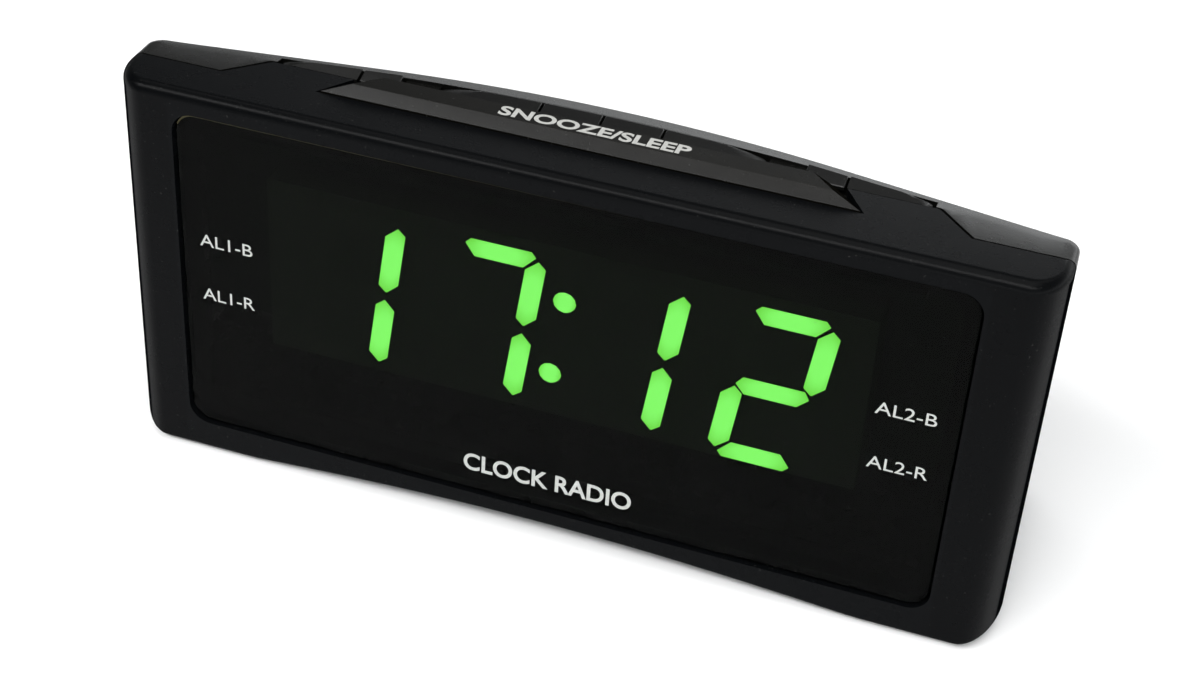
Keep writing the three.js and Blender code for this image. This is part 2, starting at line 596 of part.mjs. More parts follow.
function addKeys(face) {
  addPart(face, 'snooze_bar', snoozeBar(), GLOSS_BLACK);
  addSwitch(face, 'snooze', 0, (BAR_FRONT + BAR_REAR) / 2, 6);
  for (const key of KEYS) {
    addPart(face, `key_${key.name}`, keyCap(key), HOUSING_BLACK);
    addSwitch(face, key.name, (key.from + key.to) / 2, (KEY_STEM[0] + KEY_STEM[1]) / 2, 4);
  }
  const board = outline([[-57, 4.9], [57, 4.9], [57, 18.6], [40, 20.4], [-40, 20.4], [-57, 18.6]]);
  const keyBoard = sheetZ(board, KEY_BOARD_TOP - BOARD_THICKNESS, KEY_BOARD_TOP);
  addPart(face, 'key_board', solid(keyBoard), BOARD_GREEN);
}

// ---- Main board and its parts -------------------------------------------------------------------

/** A flat cable bent along a path in the y-z plane. */
function flatCable(points, width, x) {
  const path = new THREE.CatmullRomCurve3(points.map(([y, z]) => new THREE.Vector3(x, y, z)));
  const section = outline([[-width / 2, -0.2], [width / 2, -0.2], [width / 2, 0.2], [-width / 2, 0.2]]);
  return solid(new THREE.ExtrudeGeometry(section, { extrudePath: path, steps: 12, bevelEnabled: false }));
}

function addMainBoard(face) {
  const front = MAIN_BOARD_FRONT;
  const back = front + BOARD_THICKNESS;
  addPart(face, 'main_board', solid(block([-54, front, -19.5], [14, back, 14])), BOARD_GREEN);
  const onBoard = back + SEAT_GAP;
  addPart(face, 'radio_chip', solid(block([-32, onBoard, -14], [-22, onBoard + 2, -4])), CHIP_BLACK);
  addPart(face, 'clock_chip', solid(block([-10, onBoard, -6], [2, onBoard + 2.4, 2])), CHIP_BLACK);
  addPart(face, 'quartz_crystal', solid(block([-18, onBoard, 4], [-7, onBoard + 3.5, 8])), PLATED_STEEL);
  const capacitor = barY(4, onBoard, onBoard + 6.5, 20).translate(-34, 0, 1);
  addPart(face, 'filter_capacitor', solid(capacitor), CAPACITOR_BLUE);
  const displayBack = DISPLAY_BOARD_FRONT + BOARD_THICKNESS + SEAT_GAP;
  const ribbon = [
    [displayBack + 0.3, -9], [displayBack + 1.4, -4], [displayBack + 1.2, 2], [front - 0.6, 8],
  ];
  addPart(face, 'display_ribbon', flatCable(ribbon, 12, -12), CABLE_GREY);
  const keyRibbon = [
    [onBoard + 0.4, 9], [onBoard + 1.5, 14], [onBoard + 0.2, 19], [18.6, KEY_BOARD_TOP - 2.3],
  ];
  addPart(face, 'key_ribbon', flatCable(keyRibbon, 8, -1), CABLE_GREY);
}

/** The low-voltage inlet: a moulded block with a round socket and a centre pin. */
function addPowerJack(face) {
  const [x, z] = JACK_AT;
  const near = MAIN_BOARD_FRONT + BOARD_THICKNESS + SEAT_GAP;
  const far = rearDepth(x) + REAR_RAKE * (FACE_TOP - z) - 3 * WALL;
  const body = solid(block([x - 4.5, near, z - 4.5], [x + 4.5, far, z + 4.5]));
  const socket = solid(barY(2.75, near + 3, far + 1, 20).translate(x, 0, z));
  const pin = solid(barY(0.8, near + 2, far - 1, 10).translate(x, 0, z));
  addPart(face, 'power_jack', body.subtract(socket).add(pin), CHIP_BLACK);
}

// ---- Speaker, aerial and screws -----------------------------------------------------------------

function addSpeaker(face) {
  const frame = wallFrame(SPEAKER_AT);
  face.add(frame);
  const rim = -3.3;
  const basket = turned([
    [19.6, rim], [18.9, rim - 1.4], [11.4, rim - 4.6], [6.2, rim - 4.6], [6.2, rim - 5.5],
    [12.6, rim - 5.5], [20.6, rim - 1.3], [SPEAKER_RADIUS, rim - 1.3], [SPEAKER_RADIUS, rim], [19.6, rim],
  ]);
  addPart(frame, 'speaker_basket', solid(basket), PLATED_STEEL);
  const cone = turned([
    [0, rim - 1.9], [4, rim - 2.4], [5.6, rim - 3.3], [17.4, rim - 0.6], [18.6, rim - 0.6],
    [18.6, rim - 0.1], [17.2, rim], [5.9, rim - 2.6], [4.2, rim - 1.8], [0, rim - 1.2],
  ]);
  addPart(frame, 'speaker_cone', solid(cone), PAPER_BLACK);
  addPart(frame, 'speaker_magnet', solid(barZ(9, rim - 9.8, rim - 5.8, 28)), FERRITE);
}

function addAerial(face) {
  const frame = wallFrame(AERIAL_AT);
  face.add(frame);
  const profile = [
    [0.9, -3.4], [3.4, -3.4], [3.4, -2.5], [2.2, -2.5], [2.2, 0.3],
    [3.4, 0.3], [3.2, 1.5], [0.9, 1.8], [0.9, -3.4],
  ];
  const grommet = turned(profile, 12);
  addPart(frame, 'aerial_grommet', solid(grommet), RUBBER_BLACK);
  const points = [
    [0, 1, -9], [0, 0, -5], [0, 0, 1.5], [0, -0.6, 2.9], [0, -3, 3.2], [0, -12, 2.2], [0.5, -26, 2],
  ];
  const path = new THREE.CatmullRomCurve3(points.map((point) => new THREE.Vector3(...point)));
  const section = new THREE.Shape().absarc(0, 0, 0.55, 0, 2 * Math.PI);
  const options = { extrudePath: path, steps: 20, bevelEnabled: false, curveSegments: 4 };
  addPart(frame, 'aerial_wire', solid(new THREE.ExtrudeGeometry(section, options)), RUBBER_BLACK);
}

function addScrews(face) {
  for (const { name, x, z, seat } of SCREWS) {
    const top = seat + SEAT_GAP;
    const head = barY(2.6, top, top + 1.8, 16).translate(x, 0, z);
    const shank = barY(1.05, seat - 8, top + 0.5, 12).translate(x, 0, z);
    const recess = union(
      solid(block([x - 1.5, top + 0.8, z - 0.3], [x + 1.5, top + 3, z + 0.3])),
      solid(block([x - 0.3, top + 0.8, z - 1.5], [x + 0.3, top + 3, z + 1.5])),
    );
    addPart(face, name, union(solid(head), solid(shank)).subtract(recess), PLATED_STEEL);
  }
}

// ---- Base ---------------------------------------------------------------------------------------

/** Centres of the four feet, on the flats either side of the arch. */
function footPlaces() {
  const x = (ARCH_HALF_WIDTH + HALF_WIDTH) / 2 - 0.5;
  return [[-x, -8.4], [x, -8.4], [-x, BASE_DEPTH / 2 - 13], [x, BASE_DEPTH / 2 - 13]];
}

function addBase(radio) {
  const names = ['foot_front_left', 'foot_front_right', 'foot_rear_left', 'foot_rear_right'];
  footPlaces().forEach(([x, y], i) => {
    const foot = barZ(FOOT_RADIUS, 0, FOOT_HEIGHT + 0.5, 16).translate(x, y, 0);
    addPart(radio, names[i], solid(foot), RUBBER_BLACK);
  });
  const [halfWidth, halfDepth] = DOOR_SIZE.map((size) => size / 2);
  const doorTop = FLOOR_TOP - SEAT_GAP;
  const rear = DOOR_Y + halfDepth;
  const door = solid(block([-halfWidth, DOOR_Y - halfDepth, doorTop - 1.5], [halfWidth, rear, doorTop]));
  const coinSlot = solid(block([-5, rear - 5, doorTop - 3], [5, rear - 3.4, doorTop - 0.9]));
  addPart(radio, 'battery_door', door.subtract(coinSlot), HOUSING_BLACK);
  const cellFoot = FLOOR_TOP + 0.1;
  const cell = barZ(CELL_RADIUS, cellFoot, cellFoot + CELL_HEIGHT, 24).translate(0, DOOR_Y, 0);
  addPart(radio, 'backup_cell', solid(cell), PLATED_STEEL);
  const contact = barZ(6, FLOOR_TOP + 3.7, FLOOR_TOP + 4.4, 12).translate(0, DOOR_Y, 0);
  addPart(radio, 'cell_contact', solid(contact), PLATED_STEEL);
}

// ---- Assembly -----------------------------------------------------------------------------------

const radio = new THREE.Group();
const face = new THREE.Group();
face.position.set(0, FACE_Y, FACE_Z);
face.rotation.x = -LEAN;
radio.add(face);

const outside = caseSolid(0, FOOT_HEIGHT).subtract(archCutter());
const inside = caseSolid(WALL, FLOOR_TOP);
addPart(face, 'front_bezel', frontBezel(outside, inside), BEZEL_BLACK);
addPart(face, 'rear_housing', rearHousing(outside, inside), HOUSING_BLACK);
addDisplay(face);
addKeys(face);
addMainBoard(face);
addPowerJack(face);
addSpeaker(face);
addAerial(face);
addScrews(face);
addBase(radio);

export default radio;
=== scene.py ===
"""Looks of the clock radio: fine shells, keys, window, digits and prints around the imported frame.

Shapes are drawn in millimetres in the face's own frame (x to the right, y into the case, z up along
the face, origin at the window's centre) or over the table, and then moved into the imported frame.
"""

import json
import math

import bmesh
import bpy
from mathutils import Matrix, Vector


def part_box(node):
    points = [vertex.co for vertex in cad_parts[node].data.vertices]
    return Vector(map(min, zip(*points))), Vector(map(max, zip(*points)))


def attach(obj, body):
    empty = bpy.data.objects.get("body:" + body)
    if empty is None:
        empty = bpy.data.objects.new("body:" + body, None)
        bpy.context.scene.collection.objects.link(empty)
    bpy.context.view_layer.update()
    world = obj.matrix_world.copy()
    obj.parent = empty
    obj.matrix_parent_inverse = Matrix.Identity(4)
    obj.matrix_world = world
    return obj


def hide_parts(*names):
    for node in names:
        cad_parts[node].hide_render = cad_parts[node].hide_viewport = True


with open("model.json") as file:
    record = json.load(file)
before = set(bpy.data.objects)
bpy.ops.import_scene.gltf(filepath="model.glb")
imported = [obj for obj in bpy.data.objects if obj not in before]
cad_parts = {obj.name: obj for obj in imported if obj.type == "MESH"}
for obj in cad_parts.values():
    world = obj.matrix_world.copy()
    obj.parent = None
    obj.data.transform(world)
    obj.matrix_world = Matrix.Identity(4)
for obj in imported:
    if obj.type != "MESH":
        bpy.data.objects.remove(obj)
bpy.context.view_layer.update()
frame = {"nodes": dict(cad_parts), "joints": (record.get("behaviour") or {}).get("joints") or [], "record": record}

MM = 0.001
WALL = 2.2
GAP = 0.3
LEAST_RADIUS = 0.3

# Case, square to the face.
HALF_WIDTH = 77.7
FACE_TOP = 35.0
FACE_BOTTOM = -36.5
FRONT_EDGE_WIDTH = 6.0
FRONT_EDGE_DEPTH = 8.0
ARCH_HALF_WIDTH = 55.0
ARCH_RISE = 2.5
TOP_DEPTH = 24.5
REAR_ARC_RADIUS = 247.0
REAR_ARC_HALF_WIDTH = 39.5
REAR_WING_SLOPE = REAR_ARC_HALF_WIDTH / REAR_ARC_RADIUS
REAR_RAKE = 0.366
REAR_CORNER_RADIUS = 2.4
SIDE_DRAFT = 0.04
SPLIT_DEPTH = 9.1
INNER_LIFT = 4.57
LEAN = math.radians(10)

# Radii of the case's edges and the width of its top's rim: first in the middle of the wall or, on a
# side, at the front, and then at the wall's other end.
FRONT_TOP_RADII = (1.9, 1.6)
FRONT_FOOT_RADII = (0.6, 3.2)
SIDE_TOP_RADII = (1.6, 1.2)
SIDE_FOOT_RADII = (3.2, 2.0)
REAR_TOP_RADII = (0.6, 1.1)
REAR_FOOT_RADII = (3.0, 2.0)
RIM_WIDTHS = (3.0, 1.4)
RIM_SLOPE = 0.18

# Top panel, snooze bar and keys.
PANEL_FOOT = 29.0
PANEL_DEPTH = 15.4
PANEL_FRONT_HALF_WIDTH = 61.9
PANEL_REAR_HALF_WIDTH = 55.8
BAR_FRONT_HALF_WIDTH = 44.6
BAR_REAR_HALF_WIDTH = 39.0
BAR_FRONT = 9.4
BAR_REAR = 15.0
BAR_FOOT = 31.6
BAR_TOP = 36.75
BAR_FACET_DEPTH = 1.7
BAR_END_LEAN = 3.3
CHANNEL_FRONT = 13.0
CHANNEL_FLOOR = 33.0
CHANNEL_PLATE = 1.8
CHANNEL_HALF_WIDTH = 55.0
CHANNEL_REAR_MARGIN = 3.5
CHANNEL_END_MARGIN = 1.4
LAND = (27.75, 33.65)
LAND_TOP = 34.4

# Window and display.
WINDOW_WIDTH = 133.0
WINDOW_HEIGHT = 62.2
WINDOW_RADIUS = 3.8
LENS_RECESS = 0.7
LENS_THICKNESS = 2.0
LEDGE = 3.0
LEDGE_MARGIN = 2.2
LEDGE_REAR = 4.6
DIGIT_SCALE = 1.019
DIGIT_PITCH = 24.3
DIGITS_CENTRE = (-0.9, 1.6)
DIGIT_SLANT = 0.127
COLON_RADIUS = 2.0
COLON_HEIGHT = 7.3
SEGMENT_DEPTH = 5.0
SEGMENT_LENGTH = 6.0
REFLECTOR_FRONT = 4.9

# Rear fittings, in the face frame.
SPEAKER_AT = (42.0, -2.0)
SPEAKER_RADIUS = 22.5
GRILLE_PITCH = 4.0
GRILLE_RADIUS = 18.5
JACK_AT = (-40.0, -12.0)
JACK_HOLE_RADIUS = 3.6
AERIAL_AT = (-20.0, 10.0)
AERIAL_HOLE_RADIUS = 2.5
PLATE_AT = (-56.0, 12.0)
PLATE_HALF_SIZE = (17.0, 7.0)
PLATE_RECESS = 0.4
TOWER_RADIUS = 4.2
SCREW_WELL_RADIUS = 3.0
SCREW_HOLE_RADIUS = 1.6
SCREWS = [
    ("screw_top_left", -71.3, 27.0, 13.6), ("screw_top_right", 71.3, 27.0, 13.6),
    ("screw_bottom_left", -71.3, -22.0, 25.0), ("screw_bottom_right", 71.3, -22.0, 25.0),
]

# Base, over the table.
FOOT_HEIGHT = 1.5
FOOT_RADIUS = 4.0
FOOT_RECESS = 0.8
FLOOR_TOP = 6.0
FEET = {
    "foot_front_left": (-65.85, -8.4), "foot_front_right": (65.85, -8.4),
    "foot_rear_left": (-65.85, 10.68), "foot_rear_right": (65.85, 10.68),
}
DOOR_HALF_WIDTH = 17.0
DOOR_HALF_DEPTH = 12.0
DOOR_Y = 2.68
DOOR_GAP = 0.35
DOOR_THICKNESS = 1.5
CELL_POCKET_RADIUS = 10.6
CELL_POCKET_HEIGHT = 4.9
HOLDER_HALF_WIDTH = 19.5
HOLDER_HALF_DEPTH = 14.0
HOLDER_HEIGHT = 6.4

# Prints: width and height of each kind, and the alarm marks' columns and rows on the window.
ALARM_MARK_LEFT = (9.6, 2.3)
ALARM_MARK_RIGHT = (9.8, 2.3)
ALARM_COLUMNS = (-58.1, 57.6)
ALARM_LEFT_ROWS = (7.2, -3.6)
ALARM_RIGHT_ROWS = (6.6, -4.0)
TYPE_MARK = (30.0, 3.6)
SNOOZE_MARK = (31.6, 2.9)
PRINT_THICKNESS = 0.03

# Camera, in the face's frame.
FOCAL_LENGTH = 65.18
CAMERA_AT = (87.43, -269.83, 207.50)
CAMERA_AIM = (7.91, 0, 6.24)


def face_matrix():
    """From the face's frame, in millimetres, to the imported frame, in metres."""
    press = next(joint for joint in frame["joints"] if joint["name"] == "snooze_press")
    up = -Vector(press["axis"]).normalized()
    across = Vector((1, 0, 0))
    depth = up.cross(across)
    low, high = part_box("display_lens")
    matrix = Matrix((across, depth, up)).transposed().to_4x4()
    matrix.translation = (low + high) / 2 - depth * (LENS_RECESS + LENS_THICKNESS / 2) * MM
    return matrix @ Matrix.Scale(MM, 4)


FACE = face_matrix()
TABLE = Matrix.Scale(MM, 4)
TABLE_TO_FACE = FACE.inverted() @ TABLE


# ---- Mesh tools ---------------------------------------------------------------------------------


def link(obj):
    bpy.context.scene.collection.objects.link(obj)
    return obj


def new_object(name, vertices, faces):
    mesh = bpy.data.meshes.new(name)
    mesh.from_pydata([tuple(v) for v in vertices], [], faces)
    return link(bpy.data.objects.new(name, mesh))


def evaluated_mesh(obj):
    bpy.context.view_layer.update()
    graph = bpy.context.evaluated_depsgraph_get()
    return bpy.data.meshes.new_from_object(obj.evaluated_get(graph))


def from_curve(name, curve):
    """A mesh object in the shape of a curve or of lettering."""
    source = link(bpy.data.objects.new(name, curve))
    mesh = evaluated_mesh(source)
    bpy.data.objects.remove(source)
    return link(bpy.data.objects.new(name, mesh))


def bake(obj):
    """Applies an object's modifiers."""
    mesh = evaluated_mesh(obj)
    obj.modifiers.clear()
    obj.data = mesh
    return obj


def combine(target, tool, operation="DIFFERENCE", solver="MANIFOLD"):
    """Joins or cuts target with tool, which is used up."""
    modifier = target.modifiers.new("combine", "BOOLEAN")
    modifier.operation = operation
    modifier.solver = solver
    modifier.object = tool
    bake(target)
    bpy.data.objects.remove(tool)
    return target


def cut(target, *tools):
    for tool in tools:
        combine(target, tool)
    return target


def join(target, *tools):
    for tool in tools:
        combine(target, tool, "UNION")
    return target


def soften(obj, width, segments=2, angle=38):
    """Rounds every edge sharper than angle."""
    modifier = obj.modifiers.new("soften", "BEVEL")
    modifier.width = width
    modifier.segments = segments
    modifier.limit_method = "ANGLE"
    modifier.angle_limit = math.radians(angle)
    modifier.miter_outer = "MITER_ARC"
    return bake(obj)


def prism(outline, low, high, axis="z"):
    """A solid with a flat outline: in x-y filled along z, in x-z filled along y, or in y-z along x."""
    place = {
        "z": lambda p, h: (p[0], p[1], h),
        "y": lambda p, h: (p[0], h, p[1]),
        "x": lambda p, h: (h, p[0], p[1]),
    }[axis]
    area = sum(a[0] * b[1] - b[0] * a[1] for a, b in zip(outline, outline[1:] + outline[:1]))
    points = list(outline) if (area > 0) != (axis == "y") else list(reversed(outline))
    count = len(points)
    vertices = [place(p, low) for p in points] + [place(p, high) for p in points]
    faces = [tuple(reversed(range(count))), tuple(range(count, 2 * count))]
    faces += [(i, (i + 1) % count, count + (i + 1) % count, count + i) for i in range(count)]
    return new_object("prism", vertices, faces)


def loft(rings):
    """A solid through flat rings of equal counts, given as outline and height."""
    vertices = [(x, y, z) for outline, z in rings for x, y in outline]
    count = len(rings[0][0])
    faces = [tuple(reversed(range(count))), tuple(range(len(vertices) - count, len(vertices)))]
    for low in range(0, len(vertices) - count, count):
        high = low + count
        for i in range(count):
            j = (i + 1) % count
            faces.append((low + i, low + j, high + j, high + i))
    return new_object("loft", vertices, faces)


def rectangle(x_low, x_high, y_low, y_high):
    return [(x_low, y_low), (x_high, y_low), (x_high, y_high), (x_low, y_high)]


def block(low, high):
    return prism(rectangle(low[0], high[0], low[1], high[1]), low[2], high[2])


def circle(radius, centre=(0, 0), sides=48):
    angles = [2 * math.pi * i / sides for i in range(sides)]
    return [(centre[0] + radius * math.cos(a), centre[1] + radius * math.sin(a)) for a in angles]


def fillet(points, radii, steps=6):
    """An outline with its corners rounded by arcs; radii is one number, or one for each corner."""
    count = len(points)
    if not isinstance(radii, (list, tuple)):
        radii = [radii] * count
    outline = []
    for i, radius in enumerate(radii):
        corner = Vector(points[i])
        before = (Vector(points[i - 1]) - corner).normalized()
        after = (Vector(points[(i + 1) % count]) - corner).normalized()
        half = before.angle(after) / 2
        if radius <= 0 or half > math.radians(89):
            outline.append(tuple(corner))
            continue
        reach = radius / math.tan(half)
        centre = corner + (before + after).normalized() * (radius / math.sin(half))
        start = corner + before * reach - centre
        finish = corner + after * reach - centre
        turn = math.atan2(start.x * finish.y - start.y * finish.x, start.dot(finish))
        for k in range(steps + 1):
            a = turn * k / steps
            outline.append((
                centre.x + start.x * math.cos(a) - start.y * math.sin(a),
                centre.y + start.x * math.sin(a) + start.y * math.cos(a),
            ))
    return outline


def round_rect(half_width, half_height, radius, centre=(0, 0), steps=8):
    x, z = centre
    corners = rectangle(x - half_width, x + half_width, z - half_height, z + half_height)
    return fillet(corners, radius, steps)


def turned(name, profile, sides=64):
    """A closed solid turned about z from a closed profile of radius and height; radius 0 is the axis."""
    vertices = []
    rings = []
    for radius, height in profile:
        if radius < 1e-6:
            rings.append([len(vertices)] * sides)
            vertices.append((0, 0, height))
        else:
            rings.append([len(vertices) + i for i in range(sides)])
            vertices += [(x, y, height) for x, y in circle(radius, sides=sides)]
    faces = []
    count = len(rings)
    on_axis = [profile[i][0] < 1e-6 for i in range(count)]
    for i in range(count):
        j = (i + 1) % count
        if on_axis[i] and on_axis[j]:
            continue
        for k in range(sides):
            m = (k + 1) % sides
            face = [rings[i][k], rings[i][m], rings[j][m], rings[j][k]]
            face = [v for n, v in enumerate(face) if v not in face[:n]]
            faces.append(tuple(face))
    return new_object(name, vertices, faces)


def settle(obj, name, matrix, material, body, replaces=(), sharp=40):
    """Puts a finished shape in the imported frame, shades it, and hangs it on its body."""
    obj.name = name
    obj.data.transform(matrix)
    obj.data.name = name
    fix_normals(obj)
    obj.data.shade_smooth()
    obj.data.set_sharp_from_angle(angle=math.radians(sharp))
    weighted = obj.modifiers.new("weighted", "WEIGHTED_NORMAL")
    weighted.keep_sharp = True
    weighted.weight = 90
    obj.data.materials.clear()
    obj.data.materials.append(material)
    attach(obj, body)
    if replaces:
        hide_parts(*replaces)
    return obj


def fix_normals(obj, merge=1e-7):
    """Joins points closer than merge, and turns every face outward."""
    mesh = bmesh.new()
    mesh.from_mesh(obj.data)
    bmesh.ops.remove_doubles(mesh, verts=mesh.verts, dist=merge)
    bmesh.ops.recalc_face_normals(mesh, faces=mesh.faces)
    mesh.to_mesh(obj.data)
    mesh.free()


def placed(obj, matrix):
    obj.data.transform(matrix)
    return obj


# ---- Materials ----------------------------------------------------------------------------------


def blank_material(name):
    material = bpy.data.materials.new(name)
    material.use_nodes = True
    tree = material.node_tree
    tree.nodes.clear()
    return material, tree


def node(tree, kind, settings=None, **inputs):
    """Adds a shader node. An input is a value or another node's output socket, and its key is the
    socket's name, or i and its number where names repeat."""
    made = tree.nodes.new(kind)
    for key, value in (settings or {}).items():
        setattr(made, key, value)
    for key, value in inputs.items():
        numbered = key[0] == "i" and key[1:].isdigit()
        socket = made.inputs[int(key[1:]) if numbered else key.replace("_", " ")]
        if isinstance(value, bpy.types.NodeSocket):
            tree.links.new(value, socket)
        else:
            socket.default_value = value
    return made


def place_coords(tree):
    return node(tree, "ShaderNodeTexCoord").outputs["Object"]


def noise(tree, coords, scale, detail=2.0, roughness=0.5):
    made = node(tree, "ShaderNodeTexNoise", Vector=coords, Scale=scale, Detail=detail,
                Roughness=roughness)
    return made.outputs["Fac"]


def remap(tree, value, low, high, to_low, to_high):
    made = node(tree, "ShaderNodeMapRange", Value=value, From_Min=low, From_Max=high,
                To_Min=to_low, To_Max=to_high)
    return made.outputs["Result"]


def arithmetic(tree, operation, **inputs):
    return node(tree, "ShaderNodeMath", {"operation": operation}, **inputs).outputs[0]


def bumps(tree, height, strength, distance):
    """Fine relief over a distance in millimetres."""
    made = node(tree, "ShaderNodeBump", Height=height, Strength=strength, Distance=distance * MM)
    return made.outputs["Normal"]


def mix_shader(tree, factor, first, second):
    return node(tree, "ShaderNodeMixShader", i0=factor, i1=first.outputs[0], i2=second.outputs[0])


def mix_colour(tree, factor, first, second):
    made = tree.nodes.new("ShaderNodeMix")
    made.data_type = "RGBA"
    for index, value in ((0, factor), (6, first), (7, second)):
        if isinstance(value, bpy.types.NodeSocket):
            tree.links.new(value, made.inputs[index])
        else:
            made.inputs[index].default_value = value
    return made.outputs[2]


def rgb(colour, gain=1.0):
    return (colour[0] * gain, colour[1] * gain, colour[2] * gain, 1.0)


def output(tree, shader):
    made = node(tree, "ShaderNodeOutputMaterial")
    tree.links.new(shader, made.inputs["Surface"])


def surface(tree, tone, roughness, **inputs):
    """Ends a material's tree with an opaque surface."""
    bsdf = node(tree, "ShaderNodeBsdfPrincipled", Base_Color=tone, Roughness=roughness, **inputs)
    output(tree, bsdf.outputs["BSDF"])


def moulded(name, colour, roughness, specular=0.3, grain=0.25, grain_size=0.3, wear=0.35, fade=None):
    """Moulded plastic: spark-eroded grain, uneven sheen, and edges rubbed lighter. A coarse skin loses
    its sheen at glancing angles, between the two values of fade."""
    material, tree = blank_material(name)
    coords = place_coords(tree)
    fine = noise(tree, coords, 1 / (grain_size * MM), 3.0, 0.6)
    broad = noise(tree, coords, 45.0, 4.0, 0.6)
    smudge = noise(tree, coords, 160.0, 5.0, 0.65)
    pointiness = node(tree, "ShaderNodeNewGeometry").outputs["Pointiness"]
    edges = remap(tree, pointiness, 0.52, 0.62, 0.0, wear)
    tone = mix_colour(tree, broad, rgb(colour, 0.86), rgb(colour, 1.14))
    tone = mix_colour(tree, edges, tone, rgb(colour, 2.1))
    speck = remap(tree, noise(tree, coords, 2600.0, 0.0), 0.80, 0.86, 0.0, 0.10)
    tone = mix_colour(tree, speck, tone, (0.16, 0.16, 0.15, 1))
    rough = remap(tree, smudge, 0.3, 0.7, roughness * 0.9, roughness * 1.1)
    level = specular
    if fade:
        facing = node(tree, "ShaderNodeLayerWeight", Blend=0.5).outputs["Facing"]
        level = remap(tree, facing, *fade, specular, 0.0)
    surface(tree, tone, rough, Normal=bumps(tree, fine, grain, 0.06), Specular_IOR_Level=level)
    return material


def smoked_window(name):
    """Smoked acrylic: lets a little light through, and reflects faintly, with a few smears."""
    material, tree = blank_material(name)
    coords = place_coords(tree)
    smear = noise(tree, coords, 35.0, 5.0, 0.6)
    rough = remap(tree, smear, 0.35, 0.75, 0.03, 0.09)
    ripple = bumps(tree, noise(tree, coords, 60.0, 1.0), 0.02, 0.2)
    clear = node(tree, "ShaderNodeBsdfTransparent", Color=(0.30, 0.33, 0.30, 1))
    gloss = node(tree, "ShaderNodeBsdfGlossy", Color=(1, 1, 1, 1), Roughness=rough, Normal=ripple)
    fresnel = node(tree, "ShaderNodeFresnel", IOR=1.12)
    body = mix_shader(tree, fresnel.outputs["Fac"], clear, gloss)
    dust = node(tree, "ShaderNodeBsdfDiffuse", Color=(0.10, 0.10, 0.10, 1))
    dust_amount = remap(tree, noise(tree, coords, 1900.0, 0.0), 0.83, 0.88, 0.0, 0.25)
    output(tree, mix_shader(tree, dust_amount, body, dust).outputs["Shader"])
    return material


def painted_edge_highlight(name):
    """The window's bevelled top edge: frosted acrylic with a painted highlight, a light yellow colour at its left
    end that fades to dark towards the middle.
    """
    material, tree = blank_material(name)
    coords = place_coords(tree)
    frost = noise(tree, coords, 2200.0, 3.0)
    across = node(tree, "ShaderNodeSeparateXYZ", Vector=coords).outputs["X"]
    faded = remap(tree, across, -55 * MM, 15 * MM, 0.0, 1.0)
    # Painted highlight: light yellow at the left end, fading to dark by 15 mm right of the middle.
    tone = mix_colour(tree, faded, (0.140, 0.125, 0.070, 1), (0.003, 0.003, 0.003, 1))
    surface(tree, tone, 0.45, Normal=bumps(tree, frost, 0.3, 0.03), Specular_IOR_Level=0.05)
    return material


def lit_resin(name):
    """A light bar, brightest along its middle and yellower towards its ends."""
    material, tree = blank_material(name)
    squares = []
    for key in ("along", "across"):
        place = node(tree, "ShaderNodeAttribute", {"attribute_name": key}).outputs["Fac"]
        squares.append(arithmetic(tree, "MULTIPLY", i0=place, i1=place))
    faded = arithmetic(tree, "MULTIPLY_ADD", i0=squares[1], i1=0.35, i2=squares[0])
    cloud = noise(tree, place_coords(tree), 700.0, 2.0)
    mixed = arithmetic(tree, "MULTIPLY_ADD", i0=cloud, i1=0.22, i2=faded)
    ends = remap(tree, mixed, 0.35, 1.35, 0.0, 1.0)
    colour = mix_colour(tree, ends, (0.285, 0.985, 0.175, 1), (0.155, 0.60, 0.045, 1))
    glow = node(tree, "ShaderNodeEmission", Color=colour, Strength=9.0)
    output(tree, glow.outputs["Emission"])
    return material


def printed(name, colour):
    """Screen-printed ink: slightly patchy."""
    material, tree = blank_material(name)
    patch = noise(tree, place_coords(tree), 2500.0, 3.0)
    cover = remap(tree, patch, 0.3, 0.7, 0.0, 1.0)
    tone = mix_colour(tree, cover, rgb(colour, 0.85), rgb(colour, 1.05))
    surface(tree, tone, 0.6, Normal=bumps(tree, patch, 0.2, 0.02), Specular_IOR_Level=0.2)
    return material


def plated(name, colour, roughness):
    """Plated metal with faint scratches and dull patches."""
    material, tree = blank_material(name)
    coords = place_coords(tree)
    scratch = node(tree, "ShaderNodeTexWave", {"bands_direction": "DIAGONAL"}, Vector=coords,
                   Scale=900.0, Distortion=14.0, Detail=4.0)
    patch = noise(tree, coords, 300.0, 4.0)
    tone = mix_colour(tree, patch, rgb(colour, 0.7), rgb(colour, 1.15))
    rough = remap(tree, patch, 0.3, 0.7, roughness * 0.7, roughness * 1.4)
    normal = bumps(tree, scratch.outputs["Fac"], 0.15, 0.02)
    surface(tree, tone, rough, Metallic=1.0, Normal=normal)
    return material


def laminate(name):
    """Circuit board: solder mask over copper tracks."""
    material, tree = blank_material(name)
    coords = place_coords(tree)
    tracks = node(tree, "ShaderNodeTexBrick", Vector=coords, Scale=260.0, Mortar_Size=0.05,
                  Color1=(0, 0, 0, 1), Color2=(0.5, 0.5, 0.5, 1), Mortar=(1, 1, 1, 1)).outputs["Fac"]
    weave = noise(tree, coords, 1200.0, 2.0)
    mask = mix_colour(tree, weave, (0.003, 0.008, 0.004, 1), (0.005, 0.012, 0.006, 1))
    tone = mix_colour(tree, tracks, mask, (0.010, 0.020, 0.010, 1))
    surface(tree, tone, 0.35, Normal=bumps(tree, tracks, 0.3, 0.05))
    return material


